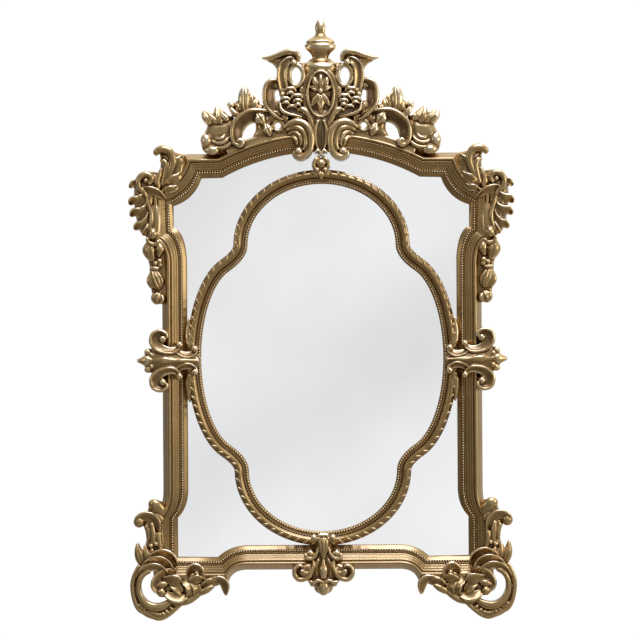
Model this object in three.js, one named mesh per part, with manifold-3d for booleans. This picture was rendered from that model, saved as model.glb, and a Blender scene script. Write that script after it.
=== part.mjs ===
// A gilt rococo wall mirror: a moulded outer frame and a lobed inner moulding over one silvered sheet,
// with a pierced crest, shoulder leaves, foot scrolls and clasps. It faces -Y and its back lies on Y = 0.
import * as THREE from "three";
import { mergeVertices } from "three/addons/utils/BufferGeometryUtils.js";
import Module from "manifold-3d";

const wasm = await Module();
wasm.setup();

// Driving dimensions in millimetres. Depths are measured out from the wall.
const GRID = 2.5; // a square of the carver's drawing; outlines count squares from the middle of the oval
const CLEARANCE = 0.4; // gap between pieces that touch
const BOARD_THICKNESS = 6;
const GLASS_THICKNESS = 5;
const GLASS_BACK = BOARD_THICKNESS + CLEARANCE;
const GLASS_FRONT = GLASS_BACK + GLASS_THICKNESS;
const LIP_BACK = GLASS_FRONT + CLEARANCE;
const RAIL_WIDTH = 62.5;
const STILE_SIGHT = 336.25; // from the middle line to the sight edge of the stiles
const SHOULDER_SIGHT = 368.75; // the same at the shoulders, where the rail steps out
const FOOT_SIGHT = 362.5; // the same at the feet
const REBATE_WIDTH = 10;
const SHEET_OVERLAP = 8.5; // how far the glass and the board run in under the rail
const OVAL_WIDTH = 35.5;
const ORNAMENT_BACK = 6; // ornament outside the rail stands this far off the wall
const CLASP_BACK = 14; // clasps end in front of the glass

// The rail's front, as distance in from the sight edge and depth: lip, beads, reeds, torus and outer cove.
const RAIL_GROOVES = [
  [20, 23],
  [39, 35],
  [41.5, 33],
  [55, 23.5],
];
// The rail's front without its grooves, for cutting ornament to sit on it.
const RAIL_HULL = [
  [0, 15.5],
  [14, 25.5],
  [44, 38.5],
  [49, 38],
  [RAIL_WIDTH, 12],
];
const RAIL_FRONT = [...RAIL_HULL, ...RAIL_GROOVES].sort((one, two) => one[0] - two[0]);
const RAIL_BACK = [
  [RAIL_WIDTH, 0],
  [REBATE_WIDTH, 0],
  [REBATE_WIDTH, LIP_BACK],
  [0, LIP_BACK],
];

// The oval moulding's front, from its sight edge out: lip, beads, hollow and carved torus.
const OVAL_HOLLOW = [12, 18.5];
const OVAL_HULL = [
  [0, 15.5],
  [7.5, 20.5],
  [27, 32],
  [OVAL_WIDTH, 21],
];
const OVAL_FRONT = [...OVAL_HULL, OVAL_HOLLOW].sort((one, two) => one[0] - two[0]);
const OVAL_BACK = [
  [OVAL_WIDTH, LIP_BACK],
  [0, LIP_BACK],
];

const gilt = new THREE.MeshStandardMaterial({ color: 0x9a7a4c, roughness: 0.4, metalness: 0.9 });
const silvered = new THREE.MeshStandardMaterial({ color: 0xe6e6e6, roughness: 0.04, metalness: 1 });
const backing = new THREE.MeshStandardMaterial({ color: 0x6b5138, roughness: 0.8, metalness: 0 });

// A point from its place on the drawing, in squares, and its depth in millimetres.
function place(across, up, depth) {
  return new THREE.Vector3(across * GRID, -depth, up * GRID);
}

function spread(values, share) {
  if (!Array.isArray(values)) {
    return values;
  }
  const reach = share * (values.length - 1);
  const first = Math.min(Math.floor(reach), values.length - 2);
  return THREE.MathUtils.lerp(values[first], values[first + 1], reach - first);
}

// Rings of equal length joined into a closed skin, as a loop or with flat ends.
function skin(rings, loop) {
  const count = rings[0].length;
  const positions = rings.flat().flatMap((corner) => corner.toArray());
  const triangles = [];
  const spans = loop ? rings.length : rings.length - 1;
  for (let span = 0; span < spans; span += 1) {
    const here = span * count;
    const next = ((span + 1) % rings.length) * count;
    for (let side = 0; side < count; side += 1) {
      const turn = (side + 1) % count;
      triangles.push(here + side, next + side, next + turn);
      triangles.push(here + side, next + turn, here + turn);
    }
  }
  const last = (rings.length - 1) * count;
  for (let corner = 1; corner < count - 1 && !loop; corner += 1) {
    triangles.push(0, corner, corner + 1);
    triangles.push(last, last + corner + 1, last + corner);
  }
  const geometry = new THREE.BufferGeometry();
  geometry.setAttribute("position", new THREE.Float32BufferAttribute(positions, 3));
  geometry.setIndex(triangles);
  return geometry;
}

function signedVolume(positions, triangles) {
  const corners = [new THREE.Vector3(), new THREE.Vector3(), new THREE.Vector3()];
  let total = 0;
  for (let at = 0; at < triangles.length; at += 3) {
    corners.forEach((corner, turn) => corner.fromArray(positions, triangles[at + turn] * 3));
    total += corners[0].dot(corners[1].cross(corners[2])) / 6;
  }
  return total;
}

// A closed three.js geometry as a solid, turned so that its faces point out.
function solid(geometry) {
  const bare = geometry.clone();
  bare.deleteAttribute("normal");
  bare.deleteAttribute("uv");
  const merged = mergeVertices(bare, 1e-4);
  const positions = merged.attributes.position.array;
  const triangles = [];
  for (let at = 0; at < merged.index.count; at += 3) {
    const [a, b, c] = merged.index.array.slice(at, at + 3);
    if (a !== b && b !== c && a !== c) {
      triangles.push(a, b, c);
    }
  }
  if (signedVolume(positions, triangles) < 0) {
    triangles.reverse();
  }
  const mesh = new wasm.Mesh({
    numProp: 3,
    vertProperties: Float32Array.from(positions),
    triVerts: Uint32Array.from(triangles),
  });
  return new wasm.Manifold(mesh);
}

function joined(solids) {
  return solids.reduce((whole, next) => whole.add(next));
}

// What is left of a cut piece once the offcuts have dropped away.
function mainBody(shape) {
  return shape.decompose().reduce((most, next) => (next.volume() > most.volume() ? next : most));
}

function named(name, shape, material) {
  const { vertProperties, triVerts } = shape.getMesh();
  const geometry = new THREE.BufferGeometry();
  geometry.setAttribute("position", new THREE.Float32BufferAttribute(vertProperties, 3));
  geometry.setIndex(Array.from(triVerts));
  const mesh = new THREE.Mesh(geometry, material);
  mesh.name = name;
  return mesh;
}

// A band carved along a curve. Its rims stand at the front depth, and its middle is hollowed between them.
// With no rims it is a leaf, which rises to a keel.
function band(spine, widths, { back = ORNAMENT_BACK, front = 44, rim = 0.78, hollow = 4, steps } = {}) {
  return (side) => {
    const curve = new THREE.SplineCurve(spine.map(([across, up]) => new THREE.Vector2(side * across, up)));
    const count = steps ?? Math.max(spine.length - 1, 4);
    const rings = [];
    for (let step = 0; step <= count; step += 1) {
      const share = step / count;
      const middle = curve.getPoint(share);
      const along = curve.getTangent(share);
      const half = spread(widths, share) / 2;
      const top = spread(front, share);
      const rims = rim === 0 ? [[0, top]] : [[-rim, top], [rim, top]];
      const groove = hollow === 0 ? [] : [[0, top - hollow]];
      const section = [[-1, back], ...rims, ...groove, [1, back]].sort((one, two) => one[0] - two[0]);
      rings.push(section.map(([reach, depth]) => place(
        middle.x - along.y * half * reach,
        middle.y + along.x * half * reach,
        depth,
      )));
    }
    return solid(skin(rings, false));
  };
}

function leaf(spine, widths, options = {}) {
  return band(spine, widths, { rim: 0, hollow: 0, steps: Math.max(spine.length - 1, 3), ...options });
}

function bud(middle, radii, { back = ORNAMENT_BACK, front = 44, around = 6 } = {}) {
  return (side) => {
    const ball = new THREE.SphereGeometry(1, around, around / 2);
    ball.scale(radii[0] * GRID, (front - back) / 2, radii[1] * GRID);
    const heart = place(side * middle[0], middle[1], (front + back) / 2);
    ball.translate(heart.x, heart.y, heart.z);
    return solid(ball);
  };
}

// A turned form about the upright axis, flattened against the wall.
function turned(profile, { middle, flat, around }) {
  const lathe = new THREE.LatheGeometry(
    profile.map(([radius, up]) => new THREE.Vector2(radius * GRID, up * GRID)),
    around,
  );
  lathe.rotateX(Math.PI / 2);
  lathe.scale(1, flat, 1);
  lathe.translate(0, -middle, 0);
  return solid(lathe);
}

function onSide(makers, side) {
  return makers.map((make) => make(side));
}

// The rail's plan

function arch(halfSpan, crown, spring) {
  const rise = crown - spring;
  const radius = (halfSpan ** 2 + rise ** 2) / (2 * rise);
  const end = Math.acos(halfSpan / radius);
  return new THREE.EllipseCurve(0, crown - radius, radius, radius, Math.PI / 2, end, true);
}

function line(from, to) {
  return new THREE.LineCurve(new THREE.Vector2(...from), new THREE.Vector2(...to));
}

function bend(from, pull, to) {
  return new THREE.QuadraticBezierCurve(...[from, pull, to].map((knot) => new THREE.Vector2(...knot)));
}

const SIGHT_X = STILE_SIGHT / GRID;
const STILE_X = (STILE_SIGHT + RAIL_WIDTH) / GRID;
const EAR_X = SHOULDER_SIGHT / GRID;
const FOOT_X = FOOT_SIGHT / GRID;
const FOOT_OUT = (FOOT_SIGHT + RAIL_WIDTH) / GRID;

// The right half of the rail from crown to bottom: sight edge, outer edge and number of steps.
// Stretches meet at the mitres.
const STRETCHES = [
  [arch(98.5, 205.5, 180), arch(103, 228.5, 204), 6],
  [line([98.5, 180], [119.5, 179.5]), line([103, 204], [136.3, 204]), 1],
  [
    bend([119.5, 179.5], [126.5, 158.5], [EAR_X, 152]),
    bend([136.3, 204], [144, 178], [172.5, 168.5]),
    3,
  ],
  [line([EAR_X, 152], [EAR_X, 130]), line([172.5, 168.5], [170, 114.5]), 1],
  [
    new THREE.EllipseCurve(EAR_X, 95.5, EAR_X - SIGHT_X, 34.5, Math.PI / 2, Math.PI, false),
    bend([170, 114.5], [STILE_X + 1, 108], [STILE_X, 95.5]),
    3,
  ],
  [line([SIGHT_X, 95.5], [SIGHT_X, -130.5]), line([STILE_X, 95.5], [STILE_X, -130.5]), 1],
  [
    bend([SIGHT_X, -130.5], [SIGHT_X, -148.5], [FOOT_X, -159]),
    bend([STILE_X, -130.5], [STILE_X, -151.5], [FOOT_OUT, -161.5]),
    2,
  ],
  [line([FOOT_X, -159], [FOOT_X, -198]), line([FOOT_OUT, -161.5], [FOOT_OUT, -223]), 1],
  [line([FOOT_X, -198], [105.3, -198.5]), line([FOOT_OUT, -223], [94.5, -223]), 1],
  [bend([105.3, -198.5], [93, -187], [75, -187]), bend([94.5, -223], [91, -211.5], [76, -211.5]), 3],
  [line([75, -187], [0, -187]), line([76, -211.5], [0, -211.5]), 1],
];

// Stations round the whole rail, each with its sight point and its outer point.
function railStations() {
  const half = STRETCHES.flatMap(([sight, outer, steps], order) => {
    const first = order === 0 ? 0 : 1;
    return Array.from({ length: steps + 1 - first }, (_, step) => ({
      sight: sight.getPoint((step + first) / steps),
      outer: outer.getPoint((step + first) / steps),
    }));
  });
  const mirrored = half.slice(1, -1).reverse().map(({ sight, outer }) => ({
    sight: new THREE.Vector2(-sight.x, sight.y),
    outer: new THREE.Vector2(-outer.x, outer.y),
  }));
  return [...half, ...mirrored];
}

const TOP_LOBE = { up: 112.5, across: 81, high: 68 };
const SIDE_LOBE = { across: 84, wide: 44, high: 96.5, end: THREE.MathUtils.degToRad(73.4) };
const CUSP_PULL = 8;
const LOBE_STEPS = { top: 6, cusp: 2, side: 5 };

// Stations round the oval moulding: two ellipses a quarter, with a soft cusp between them.
function ovalStations() {
  const { up, across, high } = TOP_LOBE;
  const top = new THREE.EllipseCurve(0, up, across, high, Math.PI / 2, 0, true);
  const side = new THREE.EllipseCurve(
    SIDE_LOBE.across,
    0,
    SIDE_LOBE.wide,
    SIDE_LOBE.high,
    SIDE_LOBE.end,
    0,
    true,
  );
  const cuspEnd = side.getPoint(0);
  const cusp = new THREE.CubicBezierCurve(
    new THREE.Vector2(across, up),
    new THREE.Vector2(across, up - CUSP_PULL),
    cuspEnd.clone().addScaledVector(side.getTangent(0), -CUSP_PULL),
    cuspEnd,
  );
  const quarter = [
    ...top.getPoints(LOBE_STEPS.top),
    ...cusp.getPoints(LOBE_STEPS.cusp).slice(1),
    ...side.getPoints(LOBE_STEPS.side).slice(1),
  ];
  const down = quarter.slice(0, -1).reverse().map((spot) => new THREE.Vector2(spot.x, -spot.y));
  const right = [...quarter, ...down];
  const left = right.slice(1, -1).reverse().map((spot) => new THREE.Vector2(-spot.x, spot.y));
  const path = [...right, ...left];
  const half = OVAL_WIDTH / GRID / 2;
  return path.map((spot, order) => {
    const before = path[(order + path.length - 1) % path.length];
    const after = path[(order + 1) % path.length];
    const along = after.clone().sub(before).normalize();
    const out = new THREE.Vector2(-along.y, along.x).multiplyScalar(half);
    return { sight: spot.clone().sub(out), outer: spot.clone().add(out) };
  });
}

// A moulding ruled between the sight edge and the outer edge of its stations. Grown, it cuts its
// neighbours clear of itself.
function moulding(stations, front, back, width, grow) {
  const section = [
    ...front.map(([reach, depth]) => [reach, depth + grow]),
    ...back.map(([reach, depth]) => [reach, depth - grow]),
  ];
  const rings = stations.map(({ sight, outer }) => section.map(([reach, depth]) => {
    const edge = reach <= 0 ? -grow : reach >= width ? grow : 0;
    const spot = sight.clone().lerp(outer, (reach + edge) / width);
    return place(spot.x, spot.y, depth);
  }));
  return solid(skin(rings, true));
}

// A flat sheet that fills the rail's rebate between two depths.
function sheet(stations, back, thickness) {
  const outline = stations.map(({ sight, outer }) => (
    sight.clone().lerp(outer, SHEET_OVERLAP / RAIL_WIDTH).multiplyScalar(GRID)
  ));
  const shape = new THREE.Shape(outline);
  const slab = new THREE.ExtrudeGeometry(shape, { depth: thickness, bevelEnabled: false });
  slab.rotateX(Math.PI / 2);
  slab.translate(0, -back, 0);
  return solid(slab);
}

const rail = railStations();
const oval = ovalStations();
const railCut = moulding(rail, RAIL_HULL, RAIL_BACK, RAIL_WIDTH, CLEARANCE);
const ovalCut = moulding(oval, OVAL_HULL, OVAL_BACK, OVAL_WIDTH, CLEARANCE);

function fitted(solids) {
  return mainBody(joined(solids).subtract(railCut).subtract(ovalCut));
}

// Crest

const VASE = [
  [0, 337.5], [5.6, 329], [4.6, 323.5], [14, 316], [15.6, 311.5], [8, 302.5], [7, 297], [16.5, 289],
  [16, 258], [9, 239], [7, 228], [0, 224],
];
const VASE_TURNING = { middle: 24, flat: 0.55, around: 12 };
const MEDALLION = { up: 262.5, across: 13.2, high: 22, rim: 2.6, back: 26, front: 50, around: 16 };
const ROSETTE = {
  across: 29.5,
  up: 260,
  radius: 9.5,
  waist: 6,
  petals: 5,
  eye: 0.4,
  back: 24,
  edge: 42,
  front: 52,
};

function medallionRim() {
  const ring = new THREE.EllipseCurve(0, MEDALLION.up, MEDALLION.across, MEDALLION.high);
  const rings = ring.getPoints(MEDALLION.around).slice(1).map((spot) => {
    const middle = new THREE.Vector2(0, MEDALLION.up);
    const out = spot.clone().sub(middle).normalize().multiplyScalar(MEDALLION.rim / 2);
    const section = [[-1, MEDALLION.back], [0, MEDALLION.front], [1, MEDALLION.back]];
    return section.map(([reach, depth]) => place(spot.x + out.x * reach, spot.y + out.y * reach, depth));
  });
  return solid(skin(rings, true));
}

// A lobed dome, one lobe a petal.
function rosette(side) {
  const ring = (scale, depth) => Array.from({ length: ROSETTE.petals * 2 }, (_, order) => {
    const turn = Math.PI / 2 + (order * Math.PI) / ROSETTE.petals;
    const reach = scale * (order % 2 === 0 ? ROSETTE.radius : ROSETTE.waist);
    const across = ROSETTE.across + Math.cos(turn) * reach;
    return place(side * across, ROSETTE.up + Math.sin(turn) * reach, depth);
  });
  const rings = [ring(1, ROSETTE.back), ring(1, ROSETTE.edge), ring(ROSETTE.eye, ROSETTE.front)];
  return solid(skin(rings, false));
}

const PALMETTE = [
  leaf([[0, 264], [0, 272], [0, 281]], [5, 11, 3], { back: 30, front: 52, steps: 2 }),
  leaf([[0, 263], [0, 252], [0, 243.5]], [5, 9, 2], { back: 30, front: 52, steps: 2 }),
];
const PALMETTE_SIDE = [
  leaf([[1, 266], [7, 270], [11, 269]], [5, 8, 2], { back: 30, front: 51, steps: 2 }),
];

const CREST_SIDE = [
  // neck flare and the leaf wing at the top
  band(
    [[4, 296], [12, 293.5], [19, 294.5], [26, 298]],
    [8, 6, 5, 8],
    { front: 40, hollow: 0, steps: 3 },
  ),
  leaf(
    [[22, 295], [29, 300.5], [39, 298.5], [48, 295.5], [59, 298.5]],
    [8, 13, 16, 11, 2],
    { front: 42 },
  ),
  // upright scroll, the ring round its piercing, and the ear scroll beside it
  band(
    [[34, 264], [35.5, 276], [35.5, 286], [31, 292.5], [23.5, 294]],
    [10, 13, 15, 10, 7],
    { front: 46 },
  ),
  band(
    [[26, 293], [19.5, 288], [17.5, 281], [20, 273.5], [27, 270]],
    [6, 4, 4, 4, 6],
    { front: 42, hollow: 0 },
  ),
  band(
    [[40, 275], [48.5, 273.5], [52.5, 267], [52, 257], [48, 248], [40, 243], [30, 240]],
    [8, 9, 12, 12, 12, 11, 10],
    { front: 44 },
  ),
  rosette,
  // ground under the flowers
  band(
    [[10, 250], [22, 255], [34, 256], [40, 246]],
    [30, 26, 16, 14],
    { front: 36, hollow: 0, steps: 3 },
  ),
  // lower volute beside the stem, over the crown of the arch, with a leaf in its hollow
  band(
    [[36, 226], [31.5, 231.5], [24, 234.8], [18, 233], [13.5, 227.5], [10.7, 219], [12, 209], [15.5, 203],
      [20.5, 199.8], [25.5, 203.5]],
    [5, 7, 9, 9, 9, 9, 9, 9, 9, 8],
    { back: CLASP_BACK, front: 56 },
  ),
  leaf([[17, 240], [23, 226], [21, 210]], [16, 17, 7], { back: CLASP_BACK, front: 50, steps: 2 }),
  // side spray: arched scroll with its bridge to the volute, leafy stem, foot along the arch
  band(
    [[26, 238], [52, 241], [64, 242.5], [74, 240], [81, 234.5], [84, 227], [83, 219.5], [79.5, 216]],
    [8, 9, 11, 12, 12, 12, 10, 8],
    { front: [38, 42, 44, 46, 46, 46, 46, 48] },
  ),
  leaf([[64, 243], [60, 234], [55, 226], [49, 219]], [7, 10, 10, 7], { front: 46 }),
  band(
    [[24, 229], [44, 224.5], [62, 219.5], [78, 214], [96, 206]],
    [7, 6, 6, 6, 6],
    { front: 40, hollow: 0 },
  ),
  // flame leaves and bud over the arched scroll
  leaf([[72, 242], [73, 256], [76, 265], [75.5, 272.5]], [10, 11, 8, 1.5], { front: 40 }),
  leaf([[68, 242], [66, 256], [68, 265.5]], [9, 10, 2], { front: 38 }),
  leaf([[76, 241], [81, 250], [84.5, 258.5]], [8, 9, 2], { front: 38 }),
  leaf([[83, 236], [87.5, 246], [90, 255.5]], [6, 6, 5], { front: 36, steps: 2 }),
  // end of the spray: two pointed leaves in a calyx
  leaf([[100, 222], [110, 235], [115, 242], [118, 248.5]], [13, 15, 11, 2], { front: 42 }),
  leaf([[93, 225], [99, 238], [102.5, 246], [104.5, 252.5]], [13, 15, 10, 2], { front: 42 }),
  band([[85, 236], [92.5, 226], [98, 217], [106, 211], [117, 210]], [7, 12, 16, 17, 15], { front: 46 }),
  bud([114.5, 217.5], [5.5, 5.5], { front: 48 }),
];

function crest() {
  const stem = band(
    [[0, 246], [0, 228], [0, 211], [0, 201]],
    [28, 20, 13, 5],
    { back: CLASP_BACK, front: 52, steps: 3 },
  );
  return fitted([
    turned(VASE, VASE_TURNING),
    stem(1),
    medallionRim(),
    ...onSide(PALMETTE, 1),
    ...[1, -1].flatMap((side) => onSide([...PALMETTE_SIDE, ...CREST_SIDE], side)),
  ]);
}

// Shoulder leaf with its husk drop

const SHOULDER = [
  leaf(
    [[152, 168], [152, 184], [153, 197], [157.5, 206.5], [166.5, 205]],
    [18, 22, 19, 13, 5],
    { front: 50 },
  ),
  leaf([[154, 191], [147, 196], [140.5, 198.5]], [9, 11, 3], { front: 48, steps: 2 }),
  leaf([[154, 179], [147, 184], [141.5, 185.5]], [10, 12, 3], { front: 48, steps: 2 }),
  leaf([[156, 167], [150, 171], [144, 171]], [9, 11, 3], { front: 48, steps: 2 }),
  band(
    [[153, 166], [163, 164], [173, 165], [181.5, 169.5], [184.3, 177.5], [179.5, 184.5],
      [172, 186], [166.5, 181]],
    [7, 7, 7, 7, 7, 6.5, 6, 5],
    { front: 50 },
  ),
  bud([174, 175.5], [7, 7], { front: 52 }),
  leaf([[156, 188], [164, 178], [170, 166]], [10, 16, 12], { front: 40, steps: 2 }),
  leaf(
    [[175, 170], [172.5, 158], [172, 146], [173.5, 134], [171, 122]],
    [12, 14, 13, 10, 6],
    { front: 46 },
  ),
  leaf([[179, 178], [187, 174.5], [193.5, 168.5]], [9, 10, 4], { front: 42, steps: 2 }),
  leaf([[176, 167], [185, 163], [193, 155.5]], [11, 13, 5], { front: 42, steps: 2 }),
  leaf([[174, 157], [183, 152], [192, 143.5]], [11, 13, 5], { front: 42, steps: 2 }),
  leaf([[174, 146], [181, 139], [189, 129]], [11, 13, 5], { front: 42, steps: 2 }),
  bud([167.5, 125], [4.5, 5], { front: 46 }),
];
const HUSK_DROP = [
  leaf(
    [[167.5, 124], [168, 113], [168.5, 104], [168, 95]],
    [9, 17, 22, 11],
    { front: [38, 42, 46, 42] },
  ),
  leaf([[166.5, 98], [165.5, 87], [165.5, 78], [165, 67]], [8, 13, 17, 7], { front: [36, 40, 44, 40] }),
  leaf([[165, 72], [164.5, 64], [164, 59], [163.5, 52]], [7, 13, 14, 4], { front: [36, 38, 42, 38] }),
];

// Foot: pierced scroll, stalk with its leaves, garland along the bottom rail

const FOOT = [
  bud([168, -144], [7.5, 7.5], { front: 50 }),
  leaf(
    [[166, -161], [174, -156.5], [181, -155.5], [186, -160], [187, -166.5]],
    [9, 12, 11, 8, 4],
    { front: 46 },
  ),
  leaf(
    [[166, -146], [168, -160], [169.5, -174], [174, -188], [177, -203]],
    [12, 17, 19, 19, 15],
    { front: 50 },
  ),
  leaf([[176, -207], [182, -196], [185, -187], [186.5, -178.5]], [10, 9, 6, 1.5], { front: 42 }),
  band(
    [[150, -204], [159, -197.5], [170, -200], [180, -207.5], [187, -219], [188, -231], [184, -243],
      [174, -250], [163, -251], [153, -246.5], [145, -239]],
    [9, 12, 13, 12, 11, 12, 14, 16, 17, 15, 10],
    { front: 48 },
  ),
  leaf([[150, -208], [157, -199], [167, -196], [177, -201]], [10, 12, 12, 8], { front: 53 }),
  bud([164.5, -227], [8.2, 8.2], { front: 56 }),
  leaf([[163, -229], [150, -231], [138, -232], [124, -226]], [16, 24, 25, 15], { front: 50 }),
  leaf([[140, -230], [132, -219], [126, -210], [120.5, -207]], [14, 15, 10, 4], { front: 54 }),
  leaf(
    [[128, -224], [113, -221.5], [103.5, -222], [98.5, -229], [98, -237]],
    [14, 14, 12, 8, 3],
    { front: 46 },
  ),
];

// Clasps

const CLASP_UP = -2; // height of the side clasp's middle
const SIDE_CLASP = [
  leaf(
    [126, 138, 150, 162, 174, 184.5].map((across) => [across, CLASP_UP]),
    [6, 15, 22, 24, 19, 2],
    { back: CLASP_BACK, front: [46, 52, 56, 56, 50, 40] },
  ),
  ...[1, -1].flatMap((way) => {
    const turn = (spots) => spots.map(([across, up]) => [across, CLASP_UP + way * up]);
    return [
      band(
        turn([[141, 16], [149, 11.5], [156, 11], [164, 14.5], [169, 20], [167.5, 26.5], [161, 29],
          [156, 25]]),
        [5, 6, 7, 7, 6.5, 6, 5.5, 6],
        { back: CLASP_BACK, front: 56 },
      ),
      bud(turn([[160.5, 21]])[0], [4.6, 4.6], { back: CLASP_BACK, front: 58 }),
      band(
        turn([[147, 11], [138.5, 7.5], [132, 6], [126.5, 10.5]]),
        [5, 6, 6, 5],
        { back: CLASP_BACK, front: 54, hollow: 0, steps: 3 },
      ),
      leaf(turn([[164, 8], [171, 8], [178, 3]]), [9, 10, 4], { back: CLASP_BACK, front: 50, steps: 2 }),
    ];
  }),
];

const BOTTOM_MIDDLE = [
  leaf(
    [-176.5, -188, -199, -211, -222, -230, -237].map((up) => [0, up]),
    [9, 11, 21, 26, 23, 13, 3],
    { back: CLASP_BACK, front: [48, 50, 54, 58, 56, 50, 42] },
  ),
];
const BOTTOM_SIDE = [
  leaf([[2, -178.5], [7, -180], [12, -178]], [4, 5, 5], { back: CLASP_BACK, front: 50, steps: 2 }),
  band(
    [[5, -190], [9, -196], [14.5, -198], [17, -194]],
    [5, 6, 7, 7],
    { back: CLASP_BACK, front: 54, hollow: 0, steps: 3 },
  ),
  band(
    [[10, -201], [12, -210], [15, -218], [21.5, -221.5], [27.5, -217.5], [28, -210], [23.5, -206.5]],
    [6, 7, 7, 6.5, 6, 6, 6],
    { back: CLASP_BACK, front: 56 },
  ),
  bud([22, -213.5], [4.6, 4.6], { back: CLASP_BACK, front: 58 }),
  bud([8, -227.5], [4, 3.6], { back: CLASP_BACK, front: 50 }),
];

const TOP_MIDDLE = [
  leaf([[0, 199.5], [0, 196], [0, 190], [0, 183.5]], [7, 14, 16, 9], { back: CLASP_BACK, front: 46 }),
  bud([0, 192.5], [4.6, 6.6], { back: CLASP_BACK, front: 54 }),
  bud([0, 181.5], [3.2, 3.2], { back: CLASP_BACK, front: 46 }),
];
const TOP_SIDE = [
  bud([4, 186.5], [3.4, 3.4], { back: CLASP_BACK, front: 50 }),
];

const mirror = new THREE.Group();
mirror.add(
  named("outer_frame", moulding(rail, RAIL_FRONT, RAIL_BACK, RAIL_WIDTH, 0), gilt),
  named("oval_frame", moulding(oval, OVAL_FRONT, OVAL_BACK, OVAL_WIDTH, 0).subtract(railCut), gilt),
  named("mirror_glass", sheet(rail, GLASS_BACK, GLASS_THICKNESS), silvered),
  named("back_board", sheet(rail, 0, BOARD_THICKNESS), backing),
  named("crest", crest(), gilt),
  named("bottom_clasp", fitted([
    ...onSide(BOTTOM_MIDDLE, 1),
    ...onSide(BOTTOM_SIDE, 1),
    ...onSide(BOTTOM_SIDE, -1),
  ]), gilt),
  named(
    "top_clasp",
    fitted([...onSide(TOP_MIDDLE, 1), ...onSide(TOP_SIDE, 1), ...onSide(TOP_SIDE, -1)]),
    gilt,
  ),
);
for (const [hand, side] of [["left", -1], ["right", 1]]) {
  mirror.add(
    named(`shoulder_leaf_${hand}`, fitted(onSide([...SHOULDER, ...HUSK_DROP], side)), gilt),
    named(`foot_scroll_${hand}`, fitted(onSide(FOOT, side)), gilt),
    named(`side_clasp_${hand}`, fitted(onSide(SIDE_CLASP, side)), gilt),
  );
}

export default mirror;
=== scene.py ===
import math

import bmesh
import bpy
import numpy as np
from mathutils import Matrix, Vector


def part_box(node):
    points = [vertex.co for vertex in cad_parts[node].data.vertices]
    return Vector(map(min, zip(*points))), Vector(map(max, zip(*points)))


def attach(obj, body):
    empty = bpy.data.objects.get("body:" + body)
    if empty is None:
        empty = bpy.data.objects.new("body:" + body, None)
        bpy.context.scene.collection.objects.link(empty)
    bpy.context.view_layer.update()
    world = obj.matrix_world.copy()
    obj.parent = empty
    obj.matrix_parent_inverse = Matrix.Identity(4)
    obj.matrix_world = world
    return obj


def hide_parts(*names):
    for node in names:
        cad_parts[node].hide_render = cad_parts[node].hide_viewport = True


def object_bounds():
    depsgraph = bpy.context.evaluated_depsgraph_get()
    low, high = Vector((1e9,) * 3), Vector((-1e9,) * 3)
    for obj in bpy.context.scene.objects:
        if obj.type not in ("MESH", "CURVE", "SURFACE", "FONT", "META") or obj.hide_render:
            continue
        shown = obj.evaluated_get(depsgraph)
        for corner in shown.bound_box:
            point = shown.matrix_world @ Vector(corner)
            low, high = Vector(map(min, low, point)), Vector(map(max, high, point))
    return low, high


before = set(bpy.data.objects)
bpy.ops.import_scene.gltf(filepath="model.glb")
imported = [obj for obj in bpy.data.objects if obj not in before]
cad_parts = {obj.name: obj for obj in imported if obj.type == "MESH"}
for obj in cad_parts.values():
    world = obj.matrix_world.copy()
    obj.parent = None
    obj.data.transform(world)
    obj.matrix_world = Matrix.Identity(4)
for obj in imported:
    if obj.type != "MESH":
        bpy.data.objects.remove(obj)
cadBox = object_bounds()

# The carver's drawing counts squares from the middle of the oval; depths are millimetres out from the wall.
drawing = {
    "shoulderOut": 172.5,  # squares from the middle line to the outside of the shoulders
    "squareMm": 2.5,
    "voxelMm": 1.25,  # grain of the cast pieces
}
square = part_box("outer_frame")[1].x / drawing["shoulderOut"]  # metres
mm = square / drawing["squareMm"]
ornamentBack = 6
claspBack = 14


def at(across, up, depth):
    across, up, depth = np.broadcast_arrays(across, up, depth)
    return np.stack([across * square, -depth * mm, up * square], -1)


# A smooth curve through the knots, at shares of the way along.
def spline(knots, share):
    knots = np.asarray(knots, float)
    last = len(knots) - 1
    reach = np.clip(share, 0, 1) * last
    first = np.minimum(reach.astype(int), last - 1)
    w = (reach - first)[..., None]
    before = knots[np.maximum(first - 1, 0)]
    start = knots[first]
    end = knots[first + 1]
    after = knots[np.minimum(first + 2, last)]
    leave = (end - before) / 2
    arrive = (after - start) / 2
    return (
        (2 * start - 2 * end + leave + arrive) * w**3
        + (3 * end - 3 * start - 2 * leave - arrive) * w**2
        + leave * w
        + start
    )


# Widths or depths given at even shares of the way, eased between.
def spread(values, share):
    values = np.atleast_1d(np.asarray(values, float))
    if len(values) == 1:
        return np.full_like(share, values[0])
    return np.maximum(spline(values[:, None], share)[..., 0], 0.4)


# The curve's points with the directions to its left.
def follow(knots, share):
    step = 1e-3
    along = spline(knots, np.minimum(share + step, 1)) - spline(knots, np.maximum(share - step, 0))
    along /= np.maximum(np.linalg.norm(along, axis=-1, keepdims=True), 1e-9)
    return spline(knots, share), np.stack([-along[..., 1], along[..., 0]], -1)


# Rings of equal length joined into a closed skin, with fan ends unless it is a loop.
def skin(rings, loop=False):
    count, size = rings.shape[:2]
    verts = rings.reshape(-1, 3)
    span = np.arange(count if loop else count - 1)[:, None]
    here = span * size
    there = ((span + 1) % count) * size
    side = np.arange(size)[None, :]
    turn = (side + 1) % size
    faces = np.stack([here + side, here + turn, there + turn, there + side], -1).reshape(-1, 4).tolist()
    if not loop:
        verts = np.concatenate([verts, rings[:1].mean(1), rings[-1:].mean(1)])
        last = (count - 1) * size
        for one in range(size):
            two = (one + 1) % size
            faces.append([count * size, two, one])
            faces.append([count * size + 1, last + one, last + two])
    return verts, faces


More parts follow.
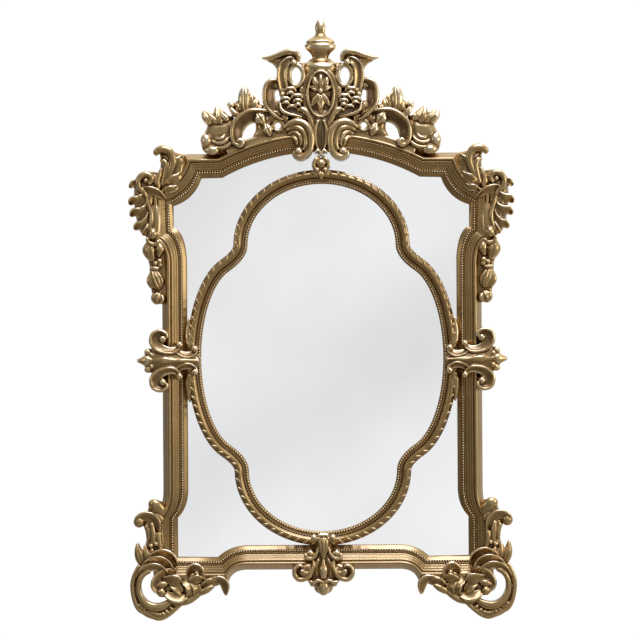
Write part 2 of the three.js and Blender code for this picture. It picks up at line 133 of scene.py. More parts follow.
# Cross-sections, as height in millimetres over the reach from -1 to 1.
def rounded(fall):
    return lambda u: -fall * (1 - np.sqrt(np.clip(1 - u * u, 0, 1)))


def rimmed(hollow, edge, rim):
    def height(u):
        a = np.abs(u)
        channel = -hollow * np.cos(np.clip(a / rim, 0, 1) * math.pi / 2) ** 0.8
        return channel - edge * np.clip((a - 0.82) / 0.18, 0, 1) ** 2
    return height


def roofed(fall):
    return lambda u: -fall * np.abs(u) ** 1.3


# A rim on the left of the way along, falling to the right.
def cupped(drop, edge):
    def height(u):
        rim = -edge * np.clip((u - 0.78) / 0.22, 0, 1) ** 2
        bowl = np.clip((0.55 - u) / 1.55, 0, 1)
        return rim - drop * np.sin(bowl * math.pi / 2) ** 0.9
    return height


def cuppedRight(drop, edge):
    left = cupped(drop, edge)
    return lambda u: left(-u)


def reeded(count, groove, fall):
    return lambda u: -fall * u * u - groove * (1 - np.abs(np.sin(count * math.pi * (u + 1) / 2)))


# Full on both sides of a cleft, as on a moulded leaf.
def cleft(groove, fall=7):
    return lambda u: -fall * u * u - groove * np.exp(-(u / 0.13) ** 2)


# A band carved along a curve, with rounded ends.
def ribbon(spine, widths, front, profile, back=ornamentBack):
    knots = np.asarray(spine, float)
    length = np.linalg.norm(np.diff(knots, axis=0), axis=1).sum()
    share = np.linspace(0, 1, max(10, int(length / 0.6)) + 1)
    middle, out = follow(knots, share)
    half = spread(widths, share) / 2
    top = spread(front, share)
    run = np.concatenate([[0], np.cumsum(np.linalg.norm(np.diff(middle, axis=0), axis=1))])
    for edge, radius in ((run, half[0]), (run[-1] - run, half[-1])):
        ease = 1 - np.clip(edge / max(radius, 0.5), 0, 1)
        ends = np.maximum(np.sqrt(1 - ease**2), 0.12)
        half = half * ends
        top = top - (1 - ends) * 4
    reach = np.linspace(-1, 1, 23)
    depth = np.maximum(top[:, None] + profile(reach)[None, :], back + 1)
    spot = middle[:, None] + out[:, None] * (half[:, None] * reach[None, :])[..., None]
    rings = at(spot[..., 0], spot[..., 1], depth)
    heel = middle[:, None] + out[:, None] * (half[:, None] * np.array([[0.88, -0.88]]))[..., None]
    rings = np.concatenate([rings, at(heel[..., 0], heel[..., 1], float(back))], 1)
    return skin(rings)


# A filled ground inside an outline, level in the middle and rolled down to its edge.
def plate(outline, centre, front, edge=20, back=ornamentBack):
    count = len(outline)
    share = (1 + np.arange(8 * count) / 8) / (count + 2)
    rim = spline([outline[-1], *outline, *outline[:2]], share)
    size = np.array([0.97, 1, 0.95, 0.86, 0.72, 0.5, 0.2])
    depth = edge + (front - edge) * (1 - size**5)
    depth[0] = back
    spot = np.array(centre) + (rim - np.array(centre))[None] * size[:, None, None]
    return skin(at(spot[..., 0], spot[..., 1], depth[:, None]))


# A leaf with a cleft along it.
def leaflet(spine, widths, front, back=ornamentBack, groove=2.6):
    return ribbon(spine, widths, front, cleft(groove), back)


# A ball in relief: half a sphere in front and straight sides to the back.
def ball(across, up, radius, front, back=ornamentBack, high=None):
    wide = np.atleast_1d(radius)[0]
    tall = high or wide
    dome = min(wide, tall) * drawing["squareMm"]
    lift = np.radians(np.linspace(86, 0, 9))
    size = np.concatenate([np.cos(lift), [0.9]])
    depth = np.concatenate([front - dome + dome * np.sin(lift), [float(back)]])
    depth = np.maximum(depth, back)
    turn = np.linspace(0, 2 * math.pi, 24, endpoint=False)
    return skin(at(
        across + wide * size[:, None] * np.cos(turn)[None, :],
        up + tall * size[:, None] * np.sin(turn)[None, :],
        depth[:, None],
    ))


def ring(across, up, wide, high, thick, front, back=ornamentBack, profile=None):
    turn = np.linspace(0, 2 * math.pi, 72, endpoint=False)
    middle = np.stack([across + wide * np.cos(turn), up + high * np.sin(turn)], 1)
    out = np.stack([np.cos(turn) * high, np.sin(turn) * wide], 1)
    out /= np.linalg.norm(out, axis=1, keepdims=True)
    reach = np.linspace(-1, 1, 15)
    profile = profile or rounded(5)
    spot = middle[:, None] + out[:, None] * (thick / 2 * reach[None, :])[..., None]
    rings = at(spot[..., 0], spot[..., 1], front + profile(reach)[None, :])
    heel = middle[:, None] + out[:, None] * np.array([[0.45, -0.45]])[..., None] * thick
    rings = np.concatenate([rings, at(heel[..., 0], heel[..., 1], float(back))], 1)
    return skin(rings, loop=True)


# A turned form about the middle line, flattened against the wall.
def turned(profile, middle, squash, around=64):
    outline = spline(profile, np.linspace(0, 1, 160))
    radius = np.maximum(outline[:, 0], 0.05)
    turn = np.linspace(0, 2 * math.pi, around, endpoint=False)
    across = radius[:, None] * np.cos(turn)[None, :]
    depth = middle + radius[:, None] * squash * drawing["squareMm"] * np.sin(turn)[None, :]
    return skin(at(across, outline[:, 1][:, None], depth))


# Shapes with their mirror images.
def both(shapes):
    return shapes + [(verts * np.array([-1, 1, 1]), faces) for verts, faces in shapes]


def plainMesh(name, shapes):
    verts = np.concatenate([shape[0] for shape in shapes])
    faces = []
    base = 0
    for corners, sides in shapes:
        faces.extend([[base + corner for corner in side] for side in sides])
        base += len(corners)
    mesh = bpy.data.meshes.new(name)
    mesh.from_pydata(verts.tolist(), [], faces)
    mesh.update()
    return mesh


def linked(name, mesh):
    piece = bpy.data.objects.new(name, mesh)
    bpy.context.scene.collection.objects.link(piece)
    return piece


def evaluated(piece):
    graph = bpy.context.evaluated_depsgraph_get()
    return bpy.data.meshes.new_from_object(piece.evaluated_get(graph))


# The mirror image of a mesh.
def flipped(mesh, name):
    mesh = mesh.copy()
    mesh.name = name
    spots = np.empty(len(mesh.vertices) * 3)
    mesh.vertices.foreach_get("co", spots)
    spots.reshape(-1, 3)[:, 0] *= -1
    mesh.vertices.foreach_set("co", spots)
    mesh.flip_normals()
    mesh.update()
    return mesh


# How far each point lies below its smoothed surroundings: a half is level, one is a hollow. The gilding
# turns this into brown patina and painted shade in hollows and pale wear and painted highlight on ridges.
def markPatinaAndShade(mesh, rounds=18, deepMm=4.4):
    count = len(mesh.vertices)
    spots = np.empty(count * 3)
    mesh.vertices.foreach_get("co", spots)
    spots = spots.reshape(-1, 3)
    normals = np.empty(count * 3)
    mesh.vertices.foreach_get("normal", normals)
    ends = np.empty(len(mesh.edges) * 2, np.int64)
    mesh.edges.foreach_get("vertices", ends)
    one, two = ends.reshape(-1, 2).T
    share = np.maximum(np.bincount(one, minlength=count) + np.bincount(two, minlength=count), 1)
    smooth = spots
    for _ in range(rounds):
        smooth = np.stack([
            (np.bincount(one, smooth[two, k], count) + np.bincount(two, smooth[one, k], count)) / share
            for k in (0, 1, 2)
        ], 1)
    below = ((smooth - spots) * normals.reshape(-1, 3)).sum(1) / mm
    patinaAndShade = mesh.attributes.new("patinaAndShade", "FLOAT", "POINT")
    patinaAndShade.data.foreach_set("value", np.clip(0.5 + below / deepMm, 0, 1).astype(np.float32))


def triangleCount(mesh):
    return sum(len(face.vertices) - 2 for face in mesh.polygons)


# Overlapping shapes melted into one skin, as a caster's mould would give.
def cast(name, shapes, budget):
    rough = linked(name + "Rough", plainMesh(name + "Rough", shapes))
    melt = rough.modifiers.new("melt", "REMESH")
    melt.mode = "VOXEL"
    melt.voxel_size = drawing["voxelMm"] * mm
    soften = rough.modifiers.new("soften", "SMOOTH")
    soften.factor = 0.5
    soften.iterations = 2
    mesh = evaluated(rough)
    triangles = triangleCount(mesh)
    piece = linked(name, mesh)
    bpy.data.objects.remove(rough)
    if triangles > budget:
        thin = piece.modifiers.new("thin", "DECIMATE")
        thin.ratio = budget / triangles
        mesh = evaluated(piece)
        piece.modifiers.clear()
        piece.data = mesh
    mesh.name = name
    mesh.polygons.foreach_set("use_smooth", [True] * len(mesh.polygons))
    markPatinaAndShade(mesh)
    print("cast", name, triangles, "->", triangleCount(mesh))
    return piece


# Nodes with their settings and their inputs, links as rows, colour ramps from places and colours.
def node(tree, kind, inputs=None, **settings):
    made = tree.nodes.new(kind)
    for name, value in settings.items():
        setattr(made, name, value)
    for name, value in (inputs or {}).items():
        made.inputs[name].default_value = value
    return made


def wire(tree, *rows):
    for source, leaves, target, enters in rows:
        tree.links.new(source.outputs[leaves], target.inputs[enters])


def ramp(tree, *marks):
    made = node(tree, "ShaderNodeValToRGB")
    elements = made.color_ramp.elements
    for place, colour in marks[1:-1]:
        elements.new(place)
    for element, (place, colour) in zip(elements, marks):
        element.position = place
        element.color = colour
    return made


def surface(name):
    material = bpy.data.materials.new(name)
    material.use_nodes = True
    return material, material.node_tree, material.node_tree.nodes["Principled BSDF"]


# Gilding: brown patina and painted shade in the hollows, pale wear and painted highlight on the raised
# edges.
giltLook = {
    "rubbedAndHighlit": (0.14, (0.9, 0.77, 0.52, 1)),  # place on the patina-and-shade scale, colour
    "pale": (0.38, (0.57, 0.408, 0.188, 1)),
    "gold": (0.6, (0.39, 0.252, 0.094, 1)),
    "brownPatinaShade": (0.96, (0.09, 0.045, 0.016, 1)),
    "mottle": {"Scale": 26, "Detail": 6, "Roughness": 0.62},
    "mottleShift": 0.22,  # how far mottling moves the edge of the patina and painted shade
    "drift": {"Scale": 14, "Detail": 3},
    "driftShare": {"From Min": 0.42, "From Max": 0.66, "To Max": 0.7},
    "bole": (1.01, 0.93, 0.85, 1),
    "gloss": {"From Min": 0.35, "From Max": 0.85, "To Min": 0.2, "To Max": 0.36},
    "grain": {"Scale": 520, "Detail": 3},
    "bump": {"Strength": 0.2, "Distance": 0.3 * mm},
    "varnish": {"Coat Weight": 0.4, "Coat Roughness": 0.12, "Coat IOR": 1.6},
}


def giltMaterial():
    material, tree, shader = surface("antiqueGilt")
    place = node(tree, "ShaderNodeTexCoord")
    # The mesh's patina-and-shade mark: brown patina and painted shade in hollows, rubbed wear and painted
    # highlight on raised edges.
    patinaAndShade = node(tree, "ShaderNodeAttribute", attribute_name="patinaAndShade")
    mottle = node(tree, "ShaderNodeTexNoise", giltLook["mottle"])
    grain = node(tree, "ShaderNodeTexNoise", giltLook["grain"])
    drift = node(tree, "ShaderNodeTexNoise", giltLook["drift"])  # red of the bole showing in places
    shift = node(tree, "ShaderNodeMath", {1: giltLook["mottleShift"]}, operation="MULTIPLY_ADD")
    tone = ramp(tree, *(giltLook[name] for name in ("rubbedAndHighlit", "pale", "gold", "brownPatinaShade")))
    share = node(tree, "ShaderNodeMapRange", giltLook["driftShare"])
    blush = node(tree, "ShaderNodeMix", data_type="RGBA", blend_type="MULTIPLY")
    blush.inputs["B"].default_value = giltLook["bole"]
    gloss = node(tree, "ShaderNodeMapRange", giltLook["gloss"])
    bump = node(tree, "ShaderNodeBump", giltLook["bump"])
    wire(
        tree,
        (place, "Object", mottle, "Vector"),
        (place, "Object", grain, "Vector"),
        (place, "Object", drift, "Vector"),
        (mottle, "Fac", shift, 0),
        (patinaAndShade, "Fac", shift, 2),
        (shift, 0, tone, "Fac"),
        (drift, "Fac", share, "Value"),
        (share, "Result", blush, "Factor"),
        (tone, "Color", blush, "A"),
        (blush, "Result", shader, "Base Color"),
        (shift, 0, gloss, "Value"),
        (gloss, "Result", shader, "Roughness"),
        (grain, "Fac", bump, "Height"),
        (bump, "Normal", shader, "Normal"),
    )
    shader.inputs["Metallic"].default_value = 1
    for name, value in giltLook["varnish"].items():
        shader.inputs[name].default_value = value
    return material


gilt = giltMaterial()


def finish(piece, slot, *nodes):
    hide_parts(*nodes)
    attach(piece, "root")


# A cast ornament in its gilding.
def ornament(name, shapes, budget, solid):
    piece = cast(name, shapes, budget)
    piece.data.materials.append(gilt)
    finish(piece, "gilt", solid)
    return piece


def otherHand(piece, name, solid):
    finish(linked(name, flipped(piece.data, name)), "gilt", solid)


# The rail's plan, right half from crown to bottom, as sight edge, outer edge and number of steps.
def arch(halfSpan, crown, spring):
    rise = crown - spring
    radius = (halfSpan**2 + rise**2) / (2 * rise)
    end = math.acos(halfSpan / radius)
    turn = lambda s: math.pi / 2 + (end - math.pi / 2) * s
    return lambda s: np.stack([radius * np.cos(turn(s)), crown - radius + radius * np.sin(turn(s))], -1)


def straight(start, end):
    start, end = np.array(start, float), np.array(end, float)
    return lambda s: start + (end - start) * s[:, None]


def bend(start, pull, end):
    start, pull, end = (np.array(spot, float) for spot in (start, pull, end))
    return lambda s: (
        start * (1 - s[:, None]) ** 2 + 2 * pull * s[:, None] * (1 - s[:, None]) + end * s[:, None] ** 2
    )


def quarter(across, up, wide, high):
    return lambda s: np.stack([
        across - wide * np.sin(s * math.pi / 2), up + high * np.cos(s * math.pi / 2)
    ], -1)


railLook = {
    "width": 62.5,
    "rebate": 10,
    "lipBack": 11.8,
    "sight": 134.5,  # squares from the middle line, as the next four are
    "stile": 159.5,
    "ear": 147.5,
    "foot": 145,
    "footOut": 170,
    "reeds": 3,
    "seat": (10.8, 17),  # millimetres from the sight edge, as all that follow
    "beadReach": 13.8,
    "beadDepth": 23.4,
    "beadRadius": 2.8,
    "beadPitch": 6.4,
}


def railStations():
    r = railLook
    stretches = [
        (arch(98.5, 205.5, 180), arch(103, 228.5, 204), 44),
        (straight((98.5, 180), (119.5, 179.5)), straight((103, 204), (136.3, 204)), 2),
        (
            bend((119.5, 179.5), (126.5, 158.5), (r["ear"], 152)),
            bend((136.3, 204), (144, 178), (172.5, 168.5)),
            18,
        ),
        (straight((r["ear"], 152), (r["ear"], 130)), straight((172.5, 168.5), (170, 114.5)), 2),
        (
            quarter(r["ear"], 95.5, r["ear"] - r["sight"], 34.5),
            bend((170, 114.5), (r["stile"] + 1, 108), (r["stile"], 95.5)),
            18,
        ),
        (
            straight((r["sight"], 95.5), (r["sight"], -130.5)),
            straight((r["stile"], 95.5), (r["stile"], -130.5)),
            4,
        ),
        (
            bend((r["sight"], -130.5), (r["sight"], -148.5), (r["foot"], -159)),
            bend((r["stile"], -130.5), (r["stile"], -151.5), (r["footOut"], -161.5)),
            14,
        ),
        (
            straight((r["foot"], -159), (r["foot"], -198)),
            straight((r["footOut"], -161.5), (r["footOut"], -223)),
            2,
        ),
        (straight((r["foot"], -198), (105.3, -198.5)), straight((r["footOut"], -223), (94.5, -223)), 2),
        (bend((105.3, -198.5), (93, -187), (75, -187)), bend((94.5, -223), (91, -211.5), (76, -211.5)), 16),
        (straight((75, -187), (0, -187)), straight((76, -211.5), (0, -211.5)), 4),
    ]
    sight, outer = [], []
    for order, (near, far, steps) in enumerate(stretches):
        share = np.linspace(0, 1, steps + 1)[0 if order == 0 else 1:]
        sight.append(near(share))
        outer.append(far(share))
    flip = np.array([-1, 1])
    return [np.concatenate([half, half[1:-1][::-1] * flip]) for half in map(np.concatenate, (sight, outer))]


def railProfile():
    r = railLook
    lip = [(reach, 15.5 + 6.2 * (reach / 10) ** 1.3) for reach in np.linspace(0, 10.6, 7)]
    seat = [(11.2, 21.4), (13.8, 21.6), (16.6, 22), (17.2, 23.6), (18.2, 24.4), (19.4, 24.2)]
    reeds = [(20.2, 22.8)]
    wide = 18.6 / r["reeds"]
    for order in np.arange(r["reeds"]):
        for turn in np.linspace(0.12, 0.88, 7):
            reach = 20.4 + wide * (order + turn)
            reeds.append((reach, 23 + (reach - 20.4) * 0.56 + 1.5 * math.sin(math.pi * turn)))
    reeds.append((39.6, 32.6))
    torus = [
        (45.4 - 4.9 * math.cos(turn), 33.2 + 5.6 * math.sin(turn)) for turn in np.linspace(0.05, math.pi, 12)
    ]
    cove = [(50.8 + 11.7 * share, 31.5 - 21 * share**1.15) for share in np.linspace(0.02, 1, 9)]
    back = [(r["width"], 0), (r["rebate"], 0), (r["rebate"], r["lipBack"]), (0, r["lipBack"])]
    return np.array(lip + seat + reeds + torus + cove), np.array(back, float)


ovalLook = {
    "width": 35.5,
    "lipBack": 11.8,
    "topUp": 112.5,
    "topAcross": 81,
    "topHigh": 68,
    "sideAcross": 84,
    "sideWide": 44,
    "sideHigh": 96.5,
    "sideEnd": math.radians(73.4),
    "cuspPull": 8,
    "seat": (2.5, 7.3),
    "beadReach": 4.8,
    "beadDepth": 19.8,
    "beadRadius": 2.9,
    "beadPitch": 6.6,
    "tickReach": 28.4,
    "tickDepth": 30.4,
    "tickLong": 9.4,
    "tickWide": 3.3,
    "tickHigh": 2.3,
    "tickPitch": 22,
    "tickTurn": math.radians(-40),
}


def ovalStations():
    o = ovalLook
    turn = np.linspace(math.pi / 2, 0, 31)
    top = np.stack([o["topAcross"] * np.cos(turn), o["topUp"] + o["topHigh"] * np.sin(turn)], 1)
    turn = np.linspace(o["sideEnd"], 0, 27)
    side = np.stack([o["sideAcross"] + o["sideWide"] * np.cos(turn), o["sideHigh"] * np.sin(turn)], 1)
    slope = side[1] - side[0]
    slope /= np.linalg.norm(slope)
    pull = [top[-1], top[-1] - [0, o["cuspPull"]], side[0] - slope * o["cuspPull"], side[0]]
    s = np.linspace(0, 1, 9)[1:, None]
    cusp = (
        pull[0] * (1 - s) ** 3
        + 3 * pull[1] * s * (1 - s) ** 2
        + 3 * pull[2] * s**2 * (1 - s)
        + pull[3] * s**3
    )
    part = np.concatenate([top, cusp, side[1:]])
    right = np.concatenate([part, part[:-1][::-1] * [1, -1]])
    path = np.concatenate([right, right[1:-1][::-1] * [-1, 1]])
    along = np.roll(path, -1, 0) - np.roll(path, 1, 0)
    along /= np.linalg.norm(along, axis=1, keepdims=True)
    out = np.stack([-along[:, 1], along[:, 0]], 1) * o["width"] / drawing["squareMm"] / 2
    return path - out, path + out


def ovalProfile():
    o = ovalLook
    lip = [(0, 15.5), (1.2, 16.8), (2.2, 17.6)]
    seat = [(2.8, 17.2), (5, 17.2), (7, 17.3), (7.6, 16.8), (9, 16.2), (11, 16.2), (13, 17), (13.8, 18)]
    torus = [
        (24 - 9.8 * math.cos(turn), 18 + 13.6 * math.sin(turn)) for turn in np.linspace(0.08, 2.8, 18)
    ]
    edge = [(33.6, 22), (34.6, 21.4), (o["width"], 19.6)]
    back = [(o["width"], o["lipBack"]), (0, o["lipBack"])]
    return np.array(lip + seat + torus + edge), np.array(back, float)


# Places on the patina-and-shade scale: the pearls' seat darkened as a painted shadow line, the pearls and
# the ticks lightened as a painted highlight, and the back; then the scale of a moulding's own relief.
marks = {
    "seat": 0.78,
    "pearl": 0.24,
    "tick": 0.36,
    "back": 0.6,
    "level": 0.52,
    "deepMm": 12,
    "limits": (0.34, 0.66),
}


# A moulding ruled between its sight edge and its outer edge, with patina and painted shade marked in its
# hollows and a painted shadow line in the pearls' seat.
def moulding(name, stations, profile, width, seat):
    sight, outer = stations
    front, back = profile
    section = np.concatenate([front, back])
    spot = sight[:, None] + (outer - sight)[:, None] * (section[:, 0] / width)[None, :, None]
    mesh = plainMesh(name, [skin(at(spot[..., 0], spot[..., 1], section[None, :, 1]), loop=True)])
    reach = np.linspace(0, width, 240)
    level = np.interp(reach, front[:, 0], front[:, 1])
    wide = 16
    smooth = np.convolve(np.pad(level, wide, "edge"), np.ones(2 * wide + 1) / (2 * wide + 1), "valid")
    below = np.interp(front[:, 0], reach, smooth) - front[:, 1]
    relief = np.clip(marks["level"] + below / marks["deepMm"], *marks["limits"])
    # The pearls' seat is darkened as a painted shadow line.
    relief[(front[:, 0] > seat[0]) & (front[:, 0] < seat[1])] = marks["seat"]
    patinaAndShade = np.concatenate([relief, np.full(len(back), marks["back"])])
    mark = mesh.attributes.new("patinaAndShade", "FLOAT", "POINT")
    mark.data.foreach_set("value", np.tile(patinaAndShade, len(sight)).astype(np.float32))
    tidyNormals(mesh)
    return mesh


def tidyNormals(mesh):
    work = bmesh.new()
    work.from_mesh(mesh)
    bmesh.ops.recalc_face_normals(work, faces=work.faces)
    work.to_mesh(mesh)
    work.free()
    mesh.polygons.foreach_set("use_smooth", [True] * len(mesh.polygons))
    mesh.set_sharp_from_angle(angle=math.radians(34))


# Geometry Nodes trees: pearls along a path, and carved leaf ticks that lean across it.
def treeWith(name, sockets):
    tree = bpy.data.node_groups.new(name, "GeometryNodeTree")
    tree.interface.new_socket("Path", in_out="INPUT", socket_type="NodeSocketGeometry")
    ids = {}
    for label, kind in sockets.items():
        socket = tree.interface.new_socket(label, in_out="INPUT", socket_type="NodeSocket" + kind)
        ids[label] = socket.identifier
    tree.interface.new_socket("Geometry", in_out="OUTPUT", socket_type="NodeSocketGeometry")
    return tree, ids, node(tree, "NodeGroupInput"), node(tree, "NodeGroupOutput")


# A shape set along the path at the pitch, made real, smooth and gilt; gives the node that sets it.
def setAlong(tree, inputs, outputs, shape):
    curve = node(tree, "GeometryNodeMeshToCurve")
    spaced = node(tree, "GeometryNodeResampleCurve", mode="LENGTH")
    laid = node(tree, "GeometryNodeInstanceOnPoints")
    real = node(tree, "GeometryNodeRealizeInstances")
    smooth = node(tree, "GeometryNodeSetShadeSmooth")
    painted = node(tree, "GeometryNodeSetMaterial")
    wire(
        tree,
        (inputs, "Path", curve, "Mesh"),
        (curve, "Curve", spaced, "Curve"),
        (inputs, "Pitch", spaced, "Length"),
        (spaced, "Curve", laid, "Points"),
        (shape, "Mesh", laid, "Instance"),
        (laid, "Instances", real, "Geometry"),
        (real, "Geometry", smooth, "Geometry"),
        (smooth, "Geometry", painted, "Geometry"),
        (inputs, "Finish", painted, "Material"),
        (painted, "Geometry", outputs, "Geometry"),
    )
    return laid


def pearlTree():
    sockets = {"Pitch": "Float", "Radius": "Float", "Finish": "Material"}
    tree, ids, inputs, outputs = treeWith("pearlString", sockets)
    pearl = node(tree, "GeometryNodeMeshUVSphere", {"Segments": 8, "Rings": 5})
    wire(tree, (inputs, "Radius", pearl, "Radius"))
    setAlong(tree, inputs, outputs, pearl)
    return tree, ids


def tickTree():
    sockets = {"Pitch": "Float", "Size": "Vector", "Lean": "Float", "Finish": "Material"}
    tree, ids, inputs, outputs = treeWith("leafTicks", sockets)
    leaf = node(tree, "GeometryNodeMeshUVSphere", {"Segments": 12, "Rings": 7, "Radius": 1})
    laid = setAlong(tree, inputs, outputs, leaf)
    along = node(tree, "GeometryNodeInputTangent")
    face = node(tree, "FunctionNodeAxesToRotation", primary_axis="X", secondary_axis="Z")
    face.inputs["Secondary Axis"].default_value = (0, -1, 0)
    lean = node(tree, "FunctionNodeAxisAngleToRotation", {"Axis": (0, 0, 1)})
    leant = node(tree, "FunctionNodeRotateRotation", rotation_space="LOCAL")
    wire(
        tree,
        (inputs, "Size", laid, "Scale"),
        (along, "Tangent", face, "Primary Axis"),
        (inputs, "Lean", lean, "Angle"),
        (face, "Rotation", leant, "Rotation"),
        (lean, "Rotation", leant, "Rotate By"),
        (leant, "Rotation", laid, "Rotation"),
    )
    return tree, ids


def alongPath(name, spots, loop, tree, ids, values):
    count = len(spots)
    edges = [[k, (k + 1) % count] for k in range(count if loop else count - 1)]
    mesh = bpy.data.meshes.new(name)
    mesh.from_pydata(spots.tolist(), edges, [])
    piece = linked(name, mesh)
    grown = piece.modifiers.new("grown", "NODES")
    grown.node_group = tree
    for label, value in values.items():
        grown[ids[label]] = value
    mesh = evaluated(piece)
    bpy.data.objects.remove(piece)
    return mesh


def marked(mesh, value):
    mark = mesh.attributes.new("patinaAndShade", "FLOAT", "POINT")
    mark.data.foreach_set("value", np.full(len(mesh.vertices), value, np.float32))
    return mesh


def offset(stations, reach, depth, width):
    sight, outer = stations
    spot = sight + (outer - sight) * (reach / width)
    return at(spot[:, 0], spot[:, 1], float(depth))


# Pearls are marked pale on the patina-and-shade scale, as a painted highlight.
def pearlRow(name, stations, look):
    path = offset(stations, look["beadReach"], look["beadDepth"], look["width"])
    return marked(alongPath(name, path, True, pearls, pearlIds, {
        "Pitch": look["beadPitch"] * mm,
        "Radius": look["beadRadius"] * mm,
        "Finish": gilt,
    }), marks["pearl"])


# Meshes of one piece joined, with their marks.
def joined(name, meshes):
    pieces = [linked(name, mesh) for mesh in meshes]
    with bpy.context.temp_override(active_object=pieces[0], selected_editable_objects=pieces):
        bpy.ops.object.join()
    whole = pieces[0]
    whole.data.materials.clear()
    whole.data.materials.append(gilt)
    whole.name = name
    whole.data.name = name
    return whole


pearls, pearlIds = pearlTree()
ticks, tickIds = tickTree()
rail = railStations()
railBeads = pearlRow("railPearls", rail, railLook)
outerFrame = joined("outerFrame", [
    moulding("outerFrame", rail, railProfile(), railLook["width"], railLook["seat"]), railBeads,
])
finish(outerFrame, "gilt", "outer_frame")
print("outer frame", len(outerFrame.data.polygons))

oval = ovalStations()
ovalBeads = pearlRow("ovalPearls", oval, ovalLook)
tickPath = offset(oval, ovalLook["tickReach"], ovalLook["tickDepth"], ovalLook["width"])
# Ticks are marked paler on the patina-and-shade scale, as a painted highlight.
rightTicks = marked(alongPath("rightTicks", tickPath[:len(tickPath) // 2 + 1], False, ticks, tickIds, {
    "Pitch": ovalLook["tickPitch"] * mm,
    "Size": [ovalLook["tickLong"] * mm, ovalLook["tickWide"] * mm, ovalLook["tickHigh"] * mm],
    "Lean": ovalLook["tickTurn"],
    "Finish": gilt,
}), marks["tick"])
ovalFrame = joined("ovalFrame", [
    moulding("ovalFrame", oval, ovalProfile(), ovalLook["width"], ovalLook["seat"]),
    ovalBeads, rightTicks, flipped(rightTicks, "leftTicks"),
])
finish(ovalFrame, "gilt", "oval_frame")
print("oval frame", len(ovalFrame.data.polygons))


crestLook = {
    "budget": 180000,
    "vase": [
        (0, 338), (3.2, 335.5), (5.3, 330), (5, 326.5), (4.5, 323.5), (6.5, 320.5), (11.5, 317.5),
        (14.3, 315.4), (13.8, 313.6), (15.6, 311.5), (15, 308), (10.5, 303.8), (8.4, 300.5), (8.2, 298),
        (10.2, 295.7), (15, 293.4), (17.3, 290), (17.4, 284), (17, 274), (16.8, 262), (15, 248), (10.5, 238),
        (7, 230), (5, 224),
    ],
    "vaseMiddle": 24,
    "vaseFlat": 0.56,
}


def crestShapes():
    middle = [
        turned(crestLook["vase"], crestLook["vaseMiddle"], crestLook["vaseFlat"]),
        ribbon([(0, 248), (0, 236), (0, 222), (0, 208), (0, 202.5)], [30, 24, 17, 13, 8], 48, rounded(9),
            claspBack),
        ring(0, 262.5, 16, 25.4, 6.4, 47, 20, rounded(7)),
        ring(0, 262.5, 13.2, 22.6, 3, 53, 24),
        ball(0, 262.5, 12.2, 46, 24, high=21.5),
        # palmette in the medallion: fan, knot and drop
        ribbon([(0, 266), (0, 273), (0, 281.5)], [4, 6.4, 4], [51, 54, 51], rounded(5), 30),
        leaflet([(0, 262), (0, 253), (0, 243)], [5, 9, 2.5], [52, 54, 50], 30),
        ball(0, 265.4, 2.8, 56, 30),
    ]
    return middle + both(crestMiddle() + crestLower() + crestSpray() + crestEnd())


